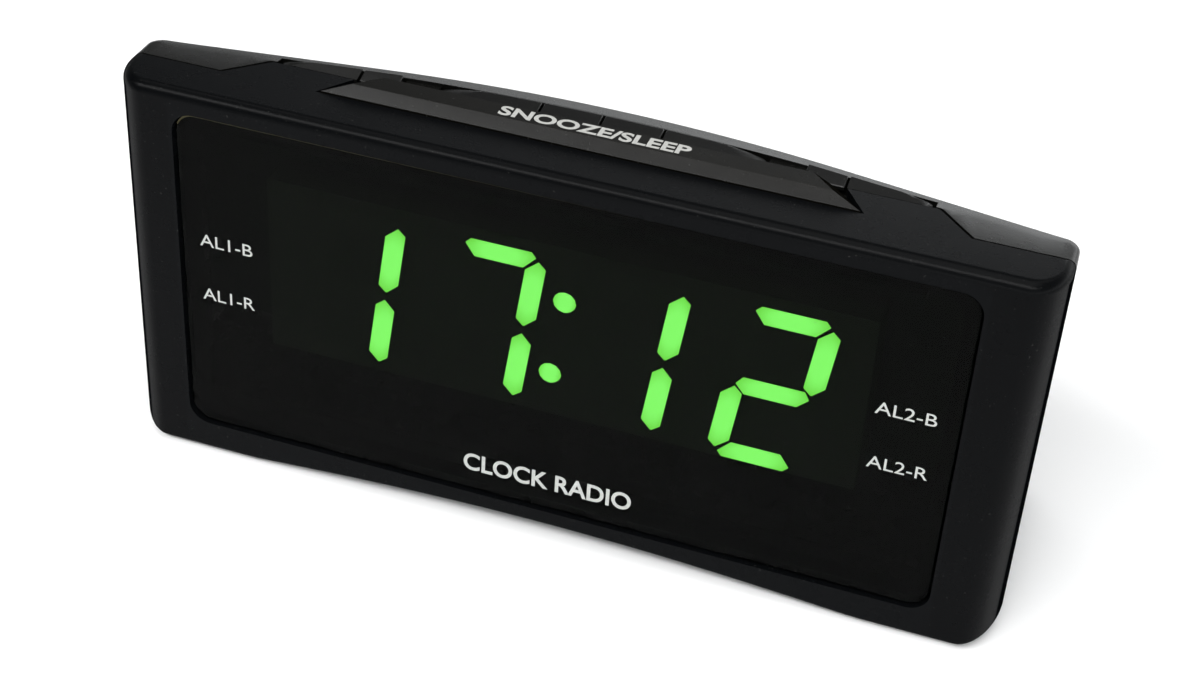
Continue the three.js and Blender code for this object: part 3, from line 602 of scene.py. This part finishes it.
# Colour, roughness and sheen, and then the skin's grain, its size in millimetres, wear and fade.
BEZEL = moulded("bezel_plastic", (0.0015, 0.0017, 0.0020), 0.28, 0.05, grain=0.35, grain_size=0.28,
                fade=(0.50, 0.74))
HOUSING = moulded("housing_plastic", (0.0026, 0.0026, 0.0022), 0.27, 0.30, grain=0.30, fade=(0.45, 1.0))
BAR = moulded("bar_plastic", (0.0030, 0.0028, 0.0022), 0.26, 0.19, grain=0.10, grain_size=0.2, wear=0.5,
              fade=(0.26, 0.62))
KEY = moulded("key_plastic", (0.0030, 0.0030, 0.0028), 0.26, 0.30, grain=0.12, grain_size=0.2, wear=0.5)
WINDOW = smoked_window("smoked_window")
BLOCK = moulded("display_block", (0.13, 0.13, 0.11), 0.75, 0.10, grain=0.5, grain_size=0.15)
DARK_RESIN = moulded("dark_resin", (0.009, 0.009, 0.008), 0.6, 0.10, grain=0.2, grain_size=0.4)
# Painted highlight for the window's top edge.
EDGE_HIGHLIGHT_PAINT = painted_edge_highlight("window_edge_painted_highlight")
LIT = lit_resin("lit_resin")
INK = printed("window_ink", (0.46, 0.47, 0.45))
BAR_INK = printed("bar_ink", (0.42, 0.42, 0.40))
RUBBER = moulded("foot_rubber", (0.012, 0.012, 0.012), 0.85, 0.12, grain=0.6, grain_size=0.5)
STEEL = plated("plated_steel", (0.52, 0.52, 0.50), 0.32)
FERRITE = plated("magnet_ferrite", (0.10, 0.10, 0.105), 0.55)
BOARD = laminate("board_laminate")
CHIP = moulded("component_plastic", (0.012, 0.012, 0.012), 0.5, 0.3)
CABLE = moulded("cable_jacket", (0.33, 0.33, 0.31), 0.45, 0.4, grain=0.2, grain_size=0.5)
SLEEVE = moulded("capacitor_sleeve", (0.012, 0.025, 0.09), 0.3, 0.4, grain=0.05)
PAPER = moulded("speaker_paper", (0.014, 0.013, 0.012), 0.9, 0.1, grain=1.0, grain_size=0.4)


# ---- The case's form ----------------------------------------------------------------------------


def rear_depth(x):
    """Depth of the rear wall at the height of the case's top."""
    beyond = max(abs(x) - REAR_ARC_HALF_WIDTH, 0)
    on_arc = min(abs(x), REAR_ARC_HALF_WIDTH)
    return TOP_DEPTH - on_arc ** 2 / (2 * REAR_ARC_RADIUS) - beyond * REAR_WING_SLOPE


def wall_matrix(place):
    """Frame on the rear wall's outer face, with its z axis pointing out of the wall."""
    x, z = place
    slope = -math.copysign(min(abs(x) / REAR_ARC_RADIUS, REAR_WING_SLOPE), x)
    out = Vector((-slope, 1, REAR_RAKE)).normalized()
    across = Vector((0, 0, 1)).cross(out).normalized()
    matrix = Matrix((across, out.cross(across), out)).transposed().to_4x4()
    matrix.translation = (x, rear_depth(x) + REAR_RAKE * (FACE_TOP - z), z)
    return matrix


def along_y(x, z, depth=0.0):
    """Frame with its z axis pointing into the case, along the face frame's y."""
    return Matrix(((1, 0, 0, x), (0, 0, 1, depth), (0, -1, 0, z), (0, 0, 0, 1)))


def arch(x):
    """Rise of the underside over the flats that carry the feet, with its ends eased in."""
    share = min(abs(x) / ARCH_HALF_WIDTH, 1)
    return ARCH_RISE * (1 - share ** 2) ** 1.15


def between(ends, share):
    return ends[0] + (ends[1] - ends[0]) * share


def case_stations(inset):
    """Right half of the plan, from the front's middle to the rear's: x, y at the top, rake share, the
    radii of the top and bottom edges there, and the width of the sloping rim on the top."""
    half = HALF_WIDTH - inset
    flat = HALF_WIDTH - FRONT_EDGE_WIDTH
    corner_width = half - flat
    columns, around, sides = 32, 14, 6
    xs = [flat * i / columns for i in range(columns)]
    xs += [flat + corner_width * math.sin(math.pi / 2 * i / around) for i in range(around + 1)]
    into_corner = lambda x: max(0.0, min(1.0, (x - flat) / corner_width))
    ease = lambda x: into_corner(x) ** 1.5
    trim = lambda radius: max(radius - inset, LEAST_RADIUS)
    radii = lambda top, foot, share: (trim(between(top, share)), trim(between(foot, share)))
    rear_radius = trim(REAR_CORNER_RADIUS)

    def front_y(x):
        return inset + (FRONT_EDGE_DEPTH - inset) * (1 - math.sqrt(1 - into_corner(x) ** 2))

    def rear_y(x):
        into = max(0.0, x - (half - rear_radius))
        drop = rear_radius - math.sqrt(max(0.0, rear_radius ** 2 - into ** 2))
        return rear_depth(x) - inset - drop

    front = [(x, front_y(x), 0.0, *radii(FRONT_TOP_RADII, FRONT_FOOT_RADII, ease(x)), 0.0) for x in xs]
    rear = []
    for x in reversed(xs):
        share = ease(x)
        top, foot = between(REAR_TOP_RADII, share), trim(between(REAR_FOOT_RADII, share))
        rear.append((x, rear_y(x), 1.0, top, foot, between(RIM_WIDTHS, share)))
    side = []
    for k in range(1, sides):
        share = k / sides
        y = between((front[-1][1], rear[0][1]), share)
        side.append((half, y, share, *radii(SIDE_TOP_RADII, SIDE_FOOT_RADII, share), 0.0))
    return front, side, rear


def case_form(inset=0.0, lift=0.0):
    """The case as one closed form with its edges rounded. An inset, and a flat floor lifted over the
    underside, make its inside."""
    front, side, rear = case_stations(inset)
    right = front + side + rear
    left = [(-station[0],) + station[1:] for station in reversed(right[1:-1])]
    loop = right + left
    count = len(loop)
    top_z = FACE_TOP - inset
    fall = math.tan(LEAN)
    steps = 7
    rise_at = (lambda x: lift) if lift else arch

    def base(station, z):
        x, y, share = station[:3]
        return Vector((x, y + share * REAR_RAKE * (FACE_TOP - z)))

    def underside(x, y):
        return FACE_BOTTOM + y * fall + rise_at(x)

    def wall_foot(station):
        x, y, share = station[:3]
        rake = share * REAR_RAKE
        return (FACE_BOTTOM + fall * (y + rake * FACE_TOP) + rise_at(x)) / (1 + fall * rake)

    normals = []
    for i in range(count):
        before = Vector(loop[i - 1][:2])
        after = Vector(loop[(i + 1) % count][:2])
        tangent = (after - before).normalized()
        normals.append(Vector((tangent.y, -tangent.x)))

    def ring(angle, at_top):
        points = []
        for station, normal in zip(loop, normals):
            radius = station[3] if at_top else station[4]
            pull = radius * (1 - math.sin(angle))
            rise = radius * (1 - math.cos(angle))
            if at_top:
                slope_width = max(station[5] - radius, 0.0)
                pull += slope_width if angle == 0 else 0.0
                rise += RIM_SLOPE * slope_width if angle > 0 else 0.0
                spot = base(station, top_z - rise) - normal * pull
                height = top_z - rise
            else:
                spot = base(station, wall_foot(station) + rise) - normal * pull
                height = underside(spot.x, spot.y) + rise
            points.append((spot.x, spot.y, height))
        return points

    rings = [ring(math.pi / 2 * i / steps, True) for i in range(steps + 1)]
    rings += [ring(math.pi / 2 * (1 - i / steps), False) for i in range(steps + 1)]
    vertices = [point for points in rings for point in points]
    faces = []
    for i in range(len(rings) - 1):
        for k in range(count):
            m = (k + 1) % count
            faces.append((i * count + k, (i + 1) * count + k, (i + 1) * count + m, i * count + m))

    ends = len(front) - 1
    middle = 2 * ends + len(side) + 1
    rear_of = lambda k: middle - k if k >= 0 else count - (middle + k)
    front_of = lambda k: k if k >= 0 else count + k

    def close(first, flip):
        """Fills an end with strips from front to rear; the outermost strips take in the sides."""
        for k in range(-ends, ends):
            face = [first + front_of(k), first + front_of(k + 1)]
            if k + 1 == ends:
                face += [first + ends + 1 + i for i in range(len(side))]
            face += [first + rear_of(k + 1), first + rear_of(k)]
            if k == -ends:
                face += [first + front_of(-ends) - len(side) + i for i in range(len(side))]
            faces.append(tuple(reversed(face)) if flip else tuple(face))

    close(0, False)
    close((len(rings) - 1) * count, True)
    narrowing = lambda y: 1 - SIDE_DRAFT * max(0.0, y - FRONT_EDGE_DEPTH) / HALF_WIDTH
    obj = new_object("case", [(x * narrowing(y), y, z) for x, y, z in vertices], faces)
    fix_normals(obj, 1e-4)
    return obj


def bezel_zone(grow):
    """Space that the front bezel may fill; the rear housing is cut with it grown by the gap."""
    front = SPLIT_DEPTH + grow
    zone = block((-100, -30, -70), (100, front, 70))
    wide = PANEL_FRONT_HALF_WIDTH + 1.3 * grow
    narrow = PANEL_REAR_HALF_WIDTH + 1.3 * grow
    rear = PANEL_DEPTH + grow
    wings = [(-wide, 3), (wide, 3), (wide, front), (narrow, rear), (-narrow, rear), (-wide, front)]
    outline = fillet(wings, [0, 0, 0, 1.2, 1.2, 0], 5)
    return join(zone, prism(outline, PANEL_FOOT, 60))


def bar_outline(grow, rear):
    """Plan of the snooze bar, grown on its front and its slanted ends."""
    wide = BAR_FRONT_HALF_WIDTH + 2.2 * grow
    narrow = BAR_REAR_HALF_WIDTH + 1.4 * grow
    return [(-wide, BAR_FRONT - grow), (wide, BAR_FRONT - grow), (narrow, rear), (-narrow, rear)]


def window_outline(grow, radius):
    return round_rect(WINDOW_WIDTH / 2 + grow, WINDOW_HEIGHT / 2 + grow, radius)


def build_bezel():
    body = case_form()
    combine(body, bezel_zone(-GAP / 2), "INTERSECT")
    cut(body, case_form(WALL, INNER_LIFT))
    ledge = prism(window_outline(LEDGE_MARGIN, WINDOW_RADIUS + 2), WALL - 0.6, LEDGE_REAR, "y")
    combine(ledge, case_form(), "INTERSECT")
    join(body, ledge)
    cut(
        body,
        prism(window_outline(0, WINDOW_RADIUS), -5, 3.0, "y"),
        prism(window_outline(-LEDGE, WINDOW_RADIUS), -5, LEDGE_REAR + 1.4, "y"),
        prism(bar_outline(GAP, BAR_REAR + 3), PANEL_FOOT, 60),
    )
    soften(body, 0.22, 3)
    settle(body, "front_bezel_shell", FACE, BEZEL, "case", ["front_bezel"])


def channel_rear(x):
    share = (x / CHANNEL_HALF_WIDTH) ** 2
    return rear_depth(x) - CHANNEL_REAR_MARGIN * (1 - share) - CHANNEL_END_MARGIN * share


def channel_outline():
    steps = 24
    xs = [CHANNEL_HALF_WIDTH * (1 - 2 * i / steps) for i in range(steps + 1)]
    rear = [(x, channel_rear(x)) for x in xs]
    return [(-CHANNEL_HALF_WIDTH, CHANNEL_FRONT), (CHANNEL_HALF_WIDTH, CHANNEL_FRONT)] + rear


def grille_slots():
    """Round-ended slots through the rear wall in front of the speaker."""
    slots = []
    for row in range(-4, 5):
        height = GRILLE_PITCH * row
        half_length = math.sqrt(GRILLE_RADIUS ** 2 - height ** 2)
        outline = round_rect(half_length, 1, 0.98, (0, height), 6)
        slots.append(placed(prism(outline, -8, 4), wall_matrix(SPEAKER_AT)))
    return slots


def housing_additions():
    """The speaker's collar, the cell's holder and the screw towers, not yet trimmed to the case."""
    lip, socket, rim = SPEAKER_RADIUS - 2, SPEAKER_RADIUS + 0.5, SPEAKER_RADIUS + 2
    profile = [(lip, -1), (lip, -3), (socket, -3), (socket, -5.5), (rim, -5.5), (rim, -1)]
    collar = turned("collar", profile)
    holder = block((-HOLDER_HALF_WIDTH, DOOR_Y - HOLDER_HALF_DEPTH, FOOT_HEIGHT),
                   (HOLDER_HALF_WIDTH, DOOR_Y + HOLDER_HALF_DEPTH, FLOOR_TOP + HOLDER_HEIGHT))
    additions = [placed(collar, wall_matrix(SPEAKER_AT)), placed(holder, TABLE_TO_FACE)]
    for _, x, z, seat in SCREWS:
        tower = turned("tower", [(0, -2), (TOWER_RADIUS, -2), (TOWER_RADIUS, 40), (0, 40)], 48)
        additions.append(placed(tower, along_y(x, z, seat)))
    return additions


def screw_wells():
    hole, well = SCREW_HOLE_RADIUS, SCREW_WELL_RADIUS
    profile = [(0, -5), (hole, -5), (hole, 0), (well, 0), (well, 40), (0, 40)]
    return [placed(turned("well", profile, 48), along_y(x, z, seat)) for _, x, z, seat in SCREWS]


def build_housing():
    body = case_form()
    cut(body, case_form(WALL, INNER_LIFT))
    join(body, prism(channel_outline(), CHANNEL_FLOOR - CHANNEL_PLATE, CHANNEL_FLOOR + 0.6))
    for addition in housing_additions():
        combine(addition, case_form(), "INTERSECT")
        join(body, addition)
    channel = prism(channel_outline(), CHANNEL_FLOOR, 60)
    for side in (-1, 1):
        low, high = sorted((side * LAND[0], side * LAND[1]))
        cut(channel, block((low, 10, 30), (high, 30, LAND_TOP)))
    cut(body, bezel_zone(GAP / 2), channel, *grille_slots())
    cut(body, *screw_wells())
    door = round_rect(DOOR_HALF_WIDTH + DOOR_GAP, DOOR_HALF_DEPTH + DOOR_GAP, 1.2, (0, DOOR_Y))
    pocket = circle(CELL_POCKET_RADIUS, (0, DOOR_Y), 64)
    cut(
        body,
        placed(prism(circle(JACK_HOLE_RADIUS), 15, 70), along_y(*JACK_AT)),
        placed(prism(circle(AERIAL_HOLE_RADIUS), -6, 6), wall_matrix(AERIAL_AT)),
        placed(prism(round_rect(*PLATE_HALF_SIZE, 1.2), -PLATE_RECESS, 4), wall_matrix(PLATE_AT)),
        placed(prism(door, -5, FLOOR_TOP), TABLE_TO_FACE),
        placed(prism(pocket, -5, FLOOR_TOP + CELL_POCKET_HEIGHT), TABLE_TO_FACE),
    )
    for place in FEET.values():
        recess = prism(circle(FOOT_RADIUS + 0.2, place), -5, FOOT_HEIGHT + FOOT_RECESS)
        cut(body, placed(recess, TABLE_TO_FACE))
    soften(body, 0.25, 3)
    settle(body, "rear_housing_shell", FACE, HOUSING, "case", ["rear_housing"])


# ---- Rear and base fittings ---------------------------------------------------------------------


def build_screws():
    """Pan-head screws with cross recesses."""
    shank = [(0, -8), (0.9, -7.6), (1.05, -7), (1.05, 0)]
    head = [(2.45, 0), (2.6, 0.15), (2.6, 0.9), (2.4, 1.35), (1.9, 1.65), (1.1, 1.8), (0, 1.85)]
    for name, x, z, seat in SCREWS:
        screw = turned(name, shank + head, 48)
        for across, along in ((1.5, 0.3), (0.3, 1.5)):
            cut(screw, prism(rectangle(-across, across, -along, along), 0.8, 3))
        soften(screw, 0.06, 2, 50)
        settle(screw, name + "_pan", FACE @ along_y(x, z, seat + 0.3), STEEL, "case", [name])


def build_feet():
    """Rubber pads with rounded rims and a slight dish."""
    dish = [(0, 0.25), (2.6, 0.2), (3.0, 0.02), (3.5, 0.02), (3.85, 0.14), (FOOT_RADIUS, 0.5)]
    top = FOOT_HEIGHT + 0.5
    for name, (x, y) in FEET.items():
        pad = turned(name, dish + [(FOOT_RADIUS, top), (0, top)])
        place = TABLE @ Matrix.Translation((x, y, 0))
        settle(pad, name + "_pad", place, RUBBER, "case", [name])


def build_door():
    """The battery door: a rounded lid with finger grooves and a coin slot."""
    top = FLOOR_TOP - 0.3
    low = top - DOOR_THICKNESS
    body = prism(round_rect(DOOR_HALF_WIDTH, DOOR_HALF_DEPTH, 1.0, (0, DOOR_Y)), low, top)
    slot_y = DOOR_Y + DOOR_HALF_DEPTH - 4.2
    cut(body, prism(round_rect(5, 0.8, 0.75, (0, slot_y)), low - 1, low + 0.6))
    for row in range(5):
        groove = round_rect(6, 0.35, 0.34, (0, DOOR_Y - 9 + 1.5 * row))
        cut(body, prism(groove, low - 1, low + 0.35))
    soften(body, 0.15, 2, 50)
    settle(body, "battery_door_lid", TABLE, HOUSING, "battery_door", ["battery_door"])


def build_aerial():
    """The wire aerial: a soft wire that drops from a rubber grommet and hangs along the wall."""
    on_wall = FACE @ wall_matrix(AERIAL_AT)
    inner = [(0.75, -3.4), (3.2, -3.4), (3.4, -3.2), (3.4, -2.5), (2.2, -2.5), (2.2, 0.3)]
    outer = [(3.3, 0.3), (3.4, 0.5), (3.25, 1.2), (2.8, 1.6), (1.6, 1.85), (0.9, 1.75), (0.75, 1.5)]
    grommet = turned("grommet", inner + outer)
    settle(grommet, "aerial_grommet_ring", on_wall, RUBBER, "case", ["aerial_grommet"])
    knots = [(0, 1, -9), (0, 0, -5), (0, 0, 1.5), (0, -0.6, 2.9), (0, -3, 3.2), (0, -12, 2.2),
             (0.5, -26, 2)]
    curve = bpy.data.curves.new("aerial", "CURVE")
    curve.dimensions = "3D"
    curve.bevel_depth = 0.55
    curve.bevel_resolution = 4
    curve.use_fill_caps = True
    curve.resolution_u = 10
    spline = curve.splines.new("BEZIER")
    spline.bezier_points.add(len(knots) - 1)
    for point, knot in zip(spline.bezier_points, knots):
        point.co = knot
        point.handle_left_type = "AUTO"
        point.handle_right_type = "AUTO"
    wire = from_curve("aerial", curve)
    settle(wire, "aerial_wire_lead", on_wall, RUBBER, "case", ["aerial_wire"])


# ---- Window and display -------------------------------------------------------------------------


def build_window():
    rear = LENS_RECESS + LENS_THICKNESS
    plate = prism(window_outline(-0.25, WINDOW_RADIUS - 0.2), LENS_RECESS, rear, "y")
    soften(plate, 0.28, 1, 60)
    settle(plate, "window_plate", FACE, WINDOW, "case", ["display_lens"])
    # The second material is the painted highlight; it goes to the bevel's faces that face up, and the rest keep
    # the smoked window.
    plate.data.materials.append(EDGE_HIGHLIGHT_PAINT)
    up = (FACE.to_3x3() @ Vector((0, 0, 1))).normalized()
    for face in plate.data.polygons:
        face.material_index = int(face.normal.dot(up) > 0.3)


def segment_outlines():
    """The segments a to g of an upright digit about its middle."""
    top = [(-5.1, 15.2), (5.1, 15.2), (6, 14.2), (4.1, 11.9), (-4.1, 11.9), (-6, 14.2)]
    side = [(6.5, 13.6), (7.9, 12.4), (7.9, 2.6), (6, 0.7), (4.5, 2), (4.5, 11.7)]
    middle = [(-5, 1.3), (5, 1.3), (6, -0.2), (4.3, -2), (-4.3, -2), (-6, -0.2)]
    flip = lambda points, sx, sz: [(sx * x, sz * z) for x, z in points]
    return {
        "a": top, "b": side, "c": flip(side, 1, -1), "d": flip(top, 1, -1),
        "e": flip(side, -1, -1), "f": flip(side, -1, 1), "g": middle,
    }


def spread(values):
    """Middle and width of a range of numbers."""
    low, high = min(values), max(values)
    return (low + high) / 2, high - low


def lean_point(x, z):
    return (x + DIGIT_SLANT * z + DIGITS_CENTRE[0], z + DIGITS_CENTRE[1])


def bar_shapes():
    """Outlines of the lit and the unlit light bars, each with whether it lies flat."""
    lit_sets = ["bc", "abc", "bc", "abged"]  # 1, 7, 1 and 2
    shapes = {True: [], False: []}
    for place, lit in enumerate(lit_sets):
        middle = (place - 1.5) * DIGIT_PITCH
        for letter, points in segment_outlines().items():
            outline = [(DIGIT_SCALE * x + middle, DIGIT_SCALE * z) for x, z in points]
            shapes[letter in lit].append((fillet(outline, 0.25, 2), letter in "adg"))
    for z in (-COLON_HEIGHT, COLON_HEIGHT):
        shapes[True].append((circle(COLON_RADIUS, (0, z), 32), True))
    return shapes


def build_segments():
    """Lit and unlit light bars, each with attributes that run from -1 to 1 along and across it."""
    shapes = bar_shapes()
    for lit, name in ((True, "lit_segments"), (False, "unlit_segments")):
        front = SEGMENT_DEPTH if lit else REFLECTOR_FRONT
        vertices, faces, along, across = [], [], [], []
        for outline, flat in shapes[lit]:
            x_middle, width = spread([x for x, z in outline])
            z_middle, height = spread([z for x, z in outline])
            start, count = len(vertices), len(outline)
            for depth in (front, front + SEGMENT_LENGTH):
                for x, z in outline:
                    leaned = lean_point(x, z)
                    vertices.append((leaned[0], depth, leaned[1]))
                    u = 2 * (x - x_middle) / width
                    v = 2 * (z - z_middle) / height
                    along.append(u if flat else v)
                    across.append(v if flat else u)
            faces.append(tuple(range(start, start + count)))
            faces.append(tuple(reversed(range(start + count, start + 2 * count))))
            for k in range(count):
                m = (k + 1) % count
                faces.append((start + m, start + k, start + count + k, start + count + m))
        obj = new_object(name, vertices, faces)
        for key, values in (("along", along), ("across", across)):
            layer = obj.data.attributes.new(key, "FLOAT", "POINT")
            layer.data.foreach_set("value", values)
        replaced = ["display_resin"] if lit else []
        settle(obj, name, FACE, LIT if lit else BLOCK, "case", replaced)


# ---- Snooze bar and keys ------------------------------------------------------------------------


def build_bar():
    """The snooze bar: a sloping front, a flat top, and ends that lean in above the panel."""
    shoulder = FACE_TOP + 0.1
    blank_top = BAR_TOP + 1.25
    plan = bar_outline(0, BAR_REAR)
    lean = BAR_END_LEAN * (blank_top - shoulder) / (BAR_TOP - shoulder)
    narrowed = [(x - math.copysign(lean, x), y) for x, y in plan]
    body = loft([(plan, BAR_FOOT), (plan, shoulder), (narrowed, blank_top)])
    front = BAR_FRONT - 0.01
    profile = [(front, 30), (BAR_REAR, 30), (BAR_REAR, BAR_TOP), (BAR_FRONT + BAR_FACET_DEPTH, BAR_TOP),
               (front, FACE_TOP + 0.15)]
    combine(body, prism(profile, -70, 70, "x"), "INTERSECT")
    soften(body, 0.28, 3, 12)
    settle(body, "snooze_bar_cap", FACE, BAR, "snooze_bar", ["snooze_bar"])


KEY_FRONT = 15.9
KEY_REACH = 9.0
KEY_REAR_GAP = 0.45
KEY_LIFT = 0.95
KEY_FRONT_TOP = 34.7
KEY_CREST = 35.4
KEY_END_DROP = 1.0
SIDE_RISE = 0.3
CENTRE_RISE = 0.15

# Name, left and right ends, rise per millimetre of depth, and where the top starts to fall away.
KEYS = [
    ("alarm_1", -54.4, -41.0, SIDE_RISE, -46.7), ("alarm_2", -40.6, -34.0, SIDE_RISE, None),
    ("hour", -27.4, -10.5, CENTRE_RISE, -18.7), ("minute", -10.1, -0.2, CENTRE_RISE, None),
    ("tune_down", 0.2, 10.1, CENTRE_RISE, None), ("tune_up", 10.5, 27.4, CENTRE_RISE, 18.7),
    ("volume", 34.0, 40.6, SIDE_RISE, None), ("power", 41.0, 54.4, SIDE_RISE, 46.7),
]


def key_end(left, right, crest):
    """Outline in x-z of the space under a key's top, which falls from the crest to the outer end."""
    side = math.copysign(1, crest)
    end = right if side > 0 else left
    beyond = end + side
    inner = -80 * side
    steps = 8
    fall = []
    for i in range(steps + 1):
        share = i / steps
        fall.append((between((crest, end), share), KEY_CREST - KEY_END_DROP * share ** 1.4))
    last = [(beyond, KEY_CREST - 1.25 * KEY_END_DROP), (beyond, 20)]
    return [(inner, 20), (inner, 50), (crest - 4 * side, 50)] + fall + last


def key_outline(left, right, crest):
    """Plan of a key: straight in front, along the channel's arc behind, and rounded at an outer end."""
    steps = 8
    xs = [between((right, left), i / steps) for i in range(steps + 1)]
    outline = [(left, KEY_FRONT), (right, KEY_FRONT)]
    outline += [(x, channel_rear(x) - KEY_REAR_GAP) for x in xs]
    if not crest:
        return outline
    radii = [0.0] * len(outline)
    for index in ((1, 2) if crest > 0 else (0, len(outline) - 1)):
        radii[index] = 0.9
    return fillet(outline, radii, 4)


def build_keys():
    """Caps that rise towards the rear; the outer ones fall away to their outer ends."""
    front = KEY_FRONT - 1
    back = KEY_FRONT + KEY_REACH
    for name, left, right, slope, crest in KEYS:
        body = prism(key_outline(left, right, crest), CHANNEL_FLOOR + KEY_LIFT, 50)
        profile = [(front, 30), (back, 30), (back, KEY_FRONT_TOP + KEY_REACH * slope),
                   (front, KEY_FRONT_TOP - slope)]
        combine(body, prism(profile, -70, 70, "x"), "INTERSECT")
        if crest:
            combine(body, prism(key_end(left, right, crest), 0, 60, "y"), "INTERSECT")
        soften(body, 0.22, 3, 25)
        node_name = "key_" + name
        settle(body, node_name + "_cap", FACE, KEY, node_name, [node_name], sharp=30)


# ---- Prints -------------------------------------------------------------------------------------


def label(name, text, size, centre, material, body, bold=0.0, on_bar=False):
    """Lettering of a given width and capital height, lying on the window or on the snooze bar."""
    curve = bpy.data.curves.new(name, "FONT")
    curve.body = text
    curve.offset = bold
    curve.resolution_u = 6
    obj = from_curve(name, curve)
    x_middle, width = spread([v.co.x for v in obj.data.vertices])
    y_middle, height = spread([v.co.y for v in obj.data.vertices])
    for v in obj.data.vertices:
        x = (v.co.x - x_middle) * size[0] / width + centre[0]
        h = (v.co.y - y_middle) * size[1] / height + centre[1]
        v.co = (x, h, centre[2]) if on_bar else (x, centre[2], h)
    flat = bmesh.new()
    flat.from_mesh(obj.data)
    bmesh.ops.remove_doubles(flat, verts=flat.verts, dist=1e-5)
    thick = Vector((0, 0, PRINT_THICKNESS)) if on_bar else Vector((0, -PRINT_THICKNESS, 0))
    grown = bmesh.ops.extrude_face_region(flat, geom=flat.faces[:])
    raised = [item for item in grown["geom"] if isinstance(item, bmesh.types.BMVert)]
    bmesh.ops.translate(flat, vec=thick, verts=raised)
    flat.to_mesh(obj.data)
    flat.free()
    settle(obj, name, FACE, material, body)


def build_prints():
    front = LENS_RECESS - 0.005
    sides = zip(("1", "2"), ALARM_COLUMNS, (ALARM_LEFT_ROWS, ALARM_RIGHT_ROWS),
                (ALARM_MARK_LEFT, ALARM_MARK_RIGHT))
    for number, column, rows, size in sides:
        for kind, row in zip(("buzzer", "radio"), rows):
            text = "AL%s-%s" % (number, kind[0].upper())
            label("label_alarm_%s_%s" % (number, kind), text, size, (column, row, front), INK, "case")
    label("label_type", "CLOCK RADIO", TYPE_MARK, (0.0, -25.0, front), INK, "case", bold=0.02)
    label("label_snooze", "SNOOZE/SLEEP", SNOOZE_MARK, (0.7, 13.1, BAR_TOP - 0.015), BAR_INK,
          "snooze_bar", bold=0.03, on_bar=True)


# ---- Carried-over pieces ------------------------------------------------------------------------

CARRIED = {
    "bezel_plastic": BEZEL, "housing_plastic": HOUSING, "bar_plastic": BAR, "key_plastic": KEY,
    "lens_acrylic": WINDOW, "reflector_plastic": BLOCK, "led_resin": DARK_RESIN, "board_laminate": BOARD,
    "component_plastic": CHIP, "cable_jacket": CABLE, "capacitor_sleeve": SLEEVE, "foot_rubber": RUBBER,
    "wire_jacket": RUBBER, "speaker_paper": PAPER, "magnet_ferrite": FERRITE, "plated_steel": STEEL,
}


def dress_carried_nodes():
    slots = {entry["node"]: entry["material_slot"] for entry in frame["record"]["subparts"]}
    for name, obj in frame["nodes"].items():
        material = CARRIED[slots[name]]
        obj.data.materials.clear()
        obj.data.materials.append(material)


# ---- Studio -------------------------------------------------------------------------------------


def build_studio():
    floor = new_object("floor", [(x, y, 0) for x, y in rectangle(-4, 4, -4, 4)], [(0, 1, 2, 3)])
    material, tree = blank_material("floor_paint")
    patch = noise(tree, place_coords(tree), 6.0, 3.0)
    tone = mix_colour(tree, patch, (0.86, 0.86, 0.86, 1), (0.89, 0.89, 0.89, 1))
    surface(tree, tone, 0.9, Specular_IOR_Level=0.1)
    floor.data.materials.append(material)

    build_world()
    centre = Vector((0, 0, 0.05))

    def card(name, direction, distance, size, brightness):
        """A soft light whose brightness is that of its face, whatever its size."""
        light = bpy.data.lights.new(name, "AREA")
        light.shape = "RECTANGLE"
        light.size, light.size_y = size
        light.energy = brightness * math.pi * size[0] * size[1]
        obj = link(bpy.data.objects.new(name, light))
        obj.location = centre + Vector(direction).normalized() * distance
        obj.rotation_euler = (centre - obj.location).to_track_quat("-Z", "Y").to_euler()

    card("overhead", (0.05, 0.05, 1), 1.3, (1.1, 0.8), 2.2)
    card("front_top", (-0.15, -0.5, 0.84), 1.0, (1.5, 0.22), 12.0)
    card("rear_left", (-0.45, 0.40, 0.80), 1.0, (0.2, 0.3), 2.0)
    card("rear_right", (0.3, 0.5, 0.83), 1.0, (0.2, 0.3), 2.5)


def build_world():
    """Surroundings: a bright horizon behind, dim higher up, and darker towards the left."""
    world = bpy.data.worlds.new("studio")
    bpy.context.scene.world = world
    world.use_nodes = True
    tree = world.node_tree
    tree.nodes.clear()
    direction = node(tree, "ShaderNodeTexCoord").outputs["Generated"]
    parts = node(tree, "ShaderNodeSeparateXYZ", Vector=direction)
    height = remap(tree, parts.outputs["Z"], 0.14, 0.36, 3.1, 0.38)
    side = remap(tree, parts.outputs["X"], -0.48, -0.14, 0.12, 1.0)
    level = arithmetic(tree, "MULTIPLY", i0=height, i1=side)
    background = node(tree, "ShaderNodeBackground", Color=(0.97, 0.99, 1.0, 1), Strength=level)
    made = node(tree, "ShaderNodeOutputWorld")
    tree.links.new(background.outputs["Background"], made.inputs["Surface"])


def build_camera():
    data = bpy.data.cameras.new("camera")
    data.sensor_width = 36.0
    data.lens = FOCAL_LENGTH
    data.clip_start = 0.01
    camera = link(bpy.data.objects.new("camera", data))
    camera.location = FACE @ Vector(CAMERA_AT)
    aim = FACE @ Vector(CAMERA_AIM)
    camera.rotation_euler = (aim - camera.location).to_track_quat("-Z", "Y").to_euler()
    bpy.context.scene.camera = camera
    bpy.context.scene.view_settings.view_transform = "Standard"


dress_carried_nodes()
build_bezel()
build_housing()
build_screws()
build_feet()
build_door()
build_aerial()
build_window()
build_segments()
build_bar()
build_keys()
build_prints()
build_studio()
build_camera()
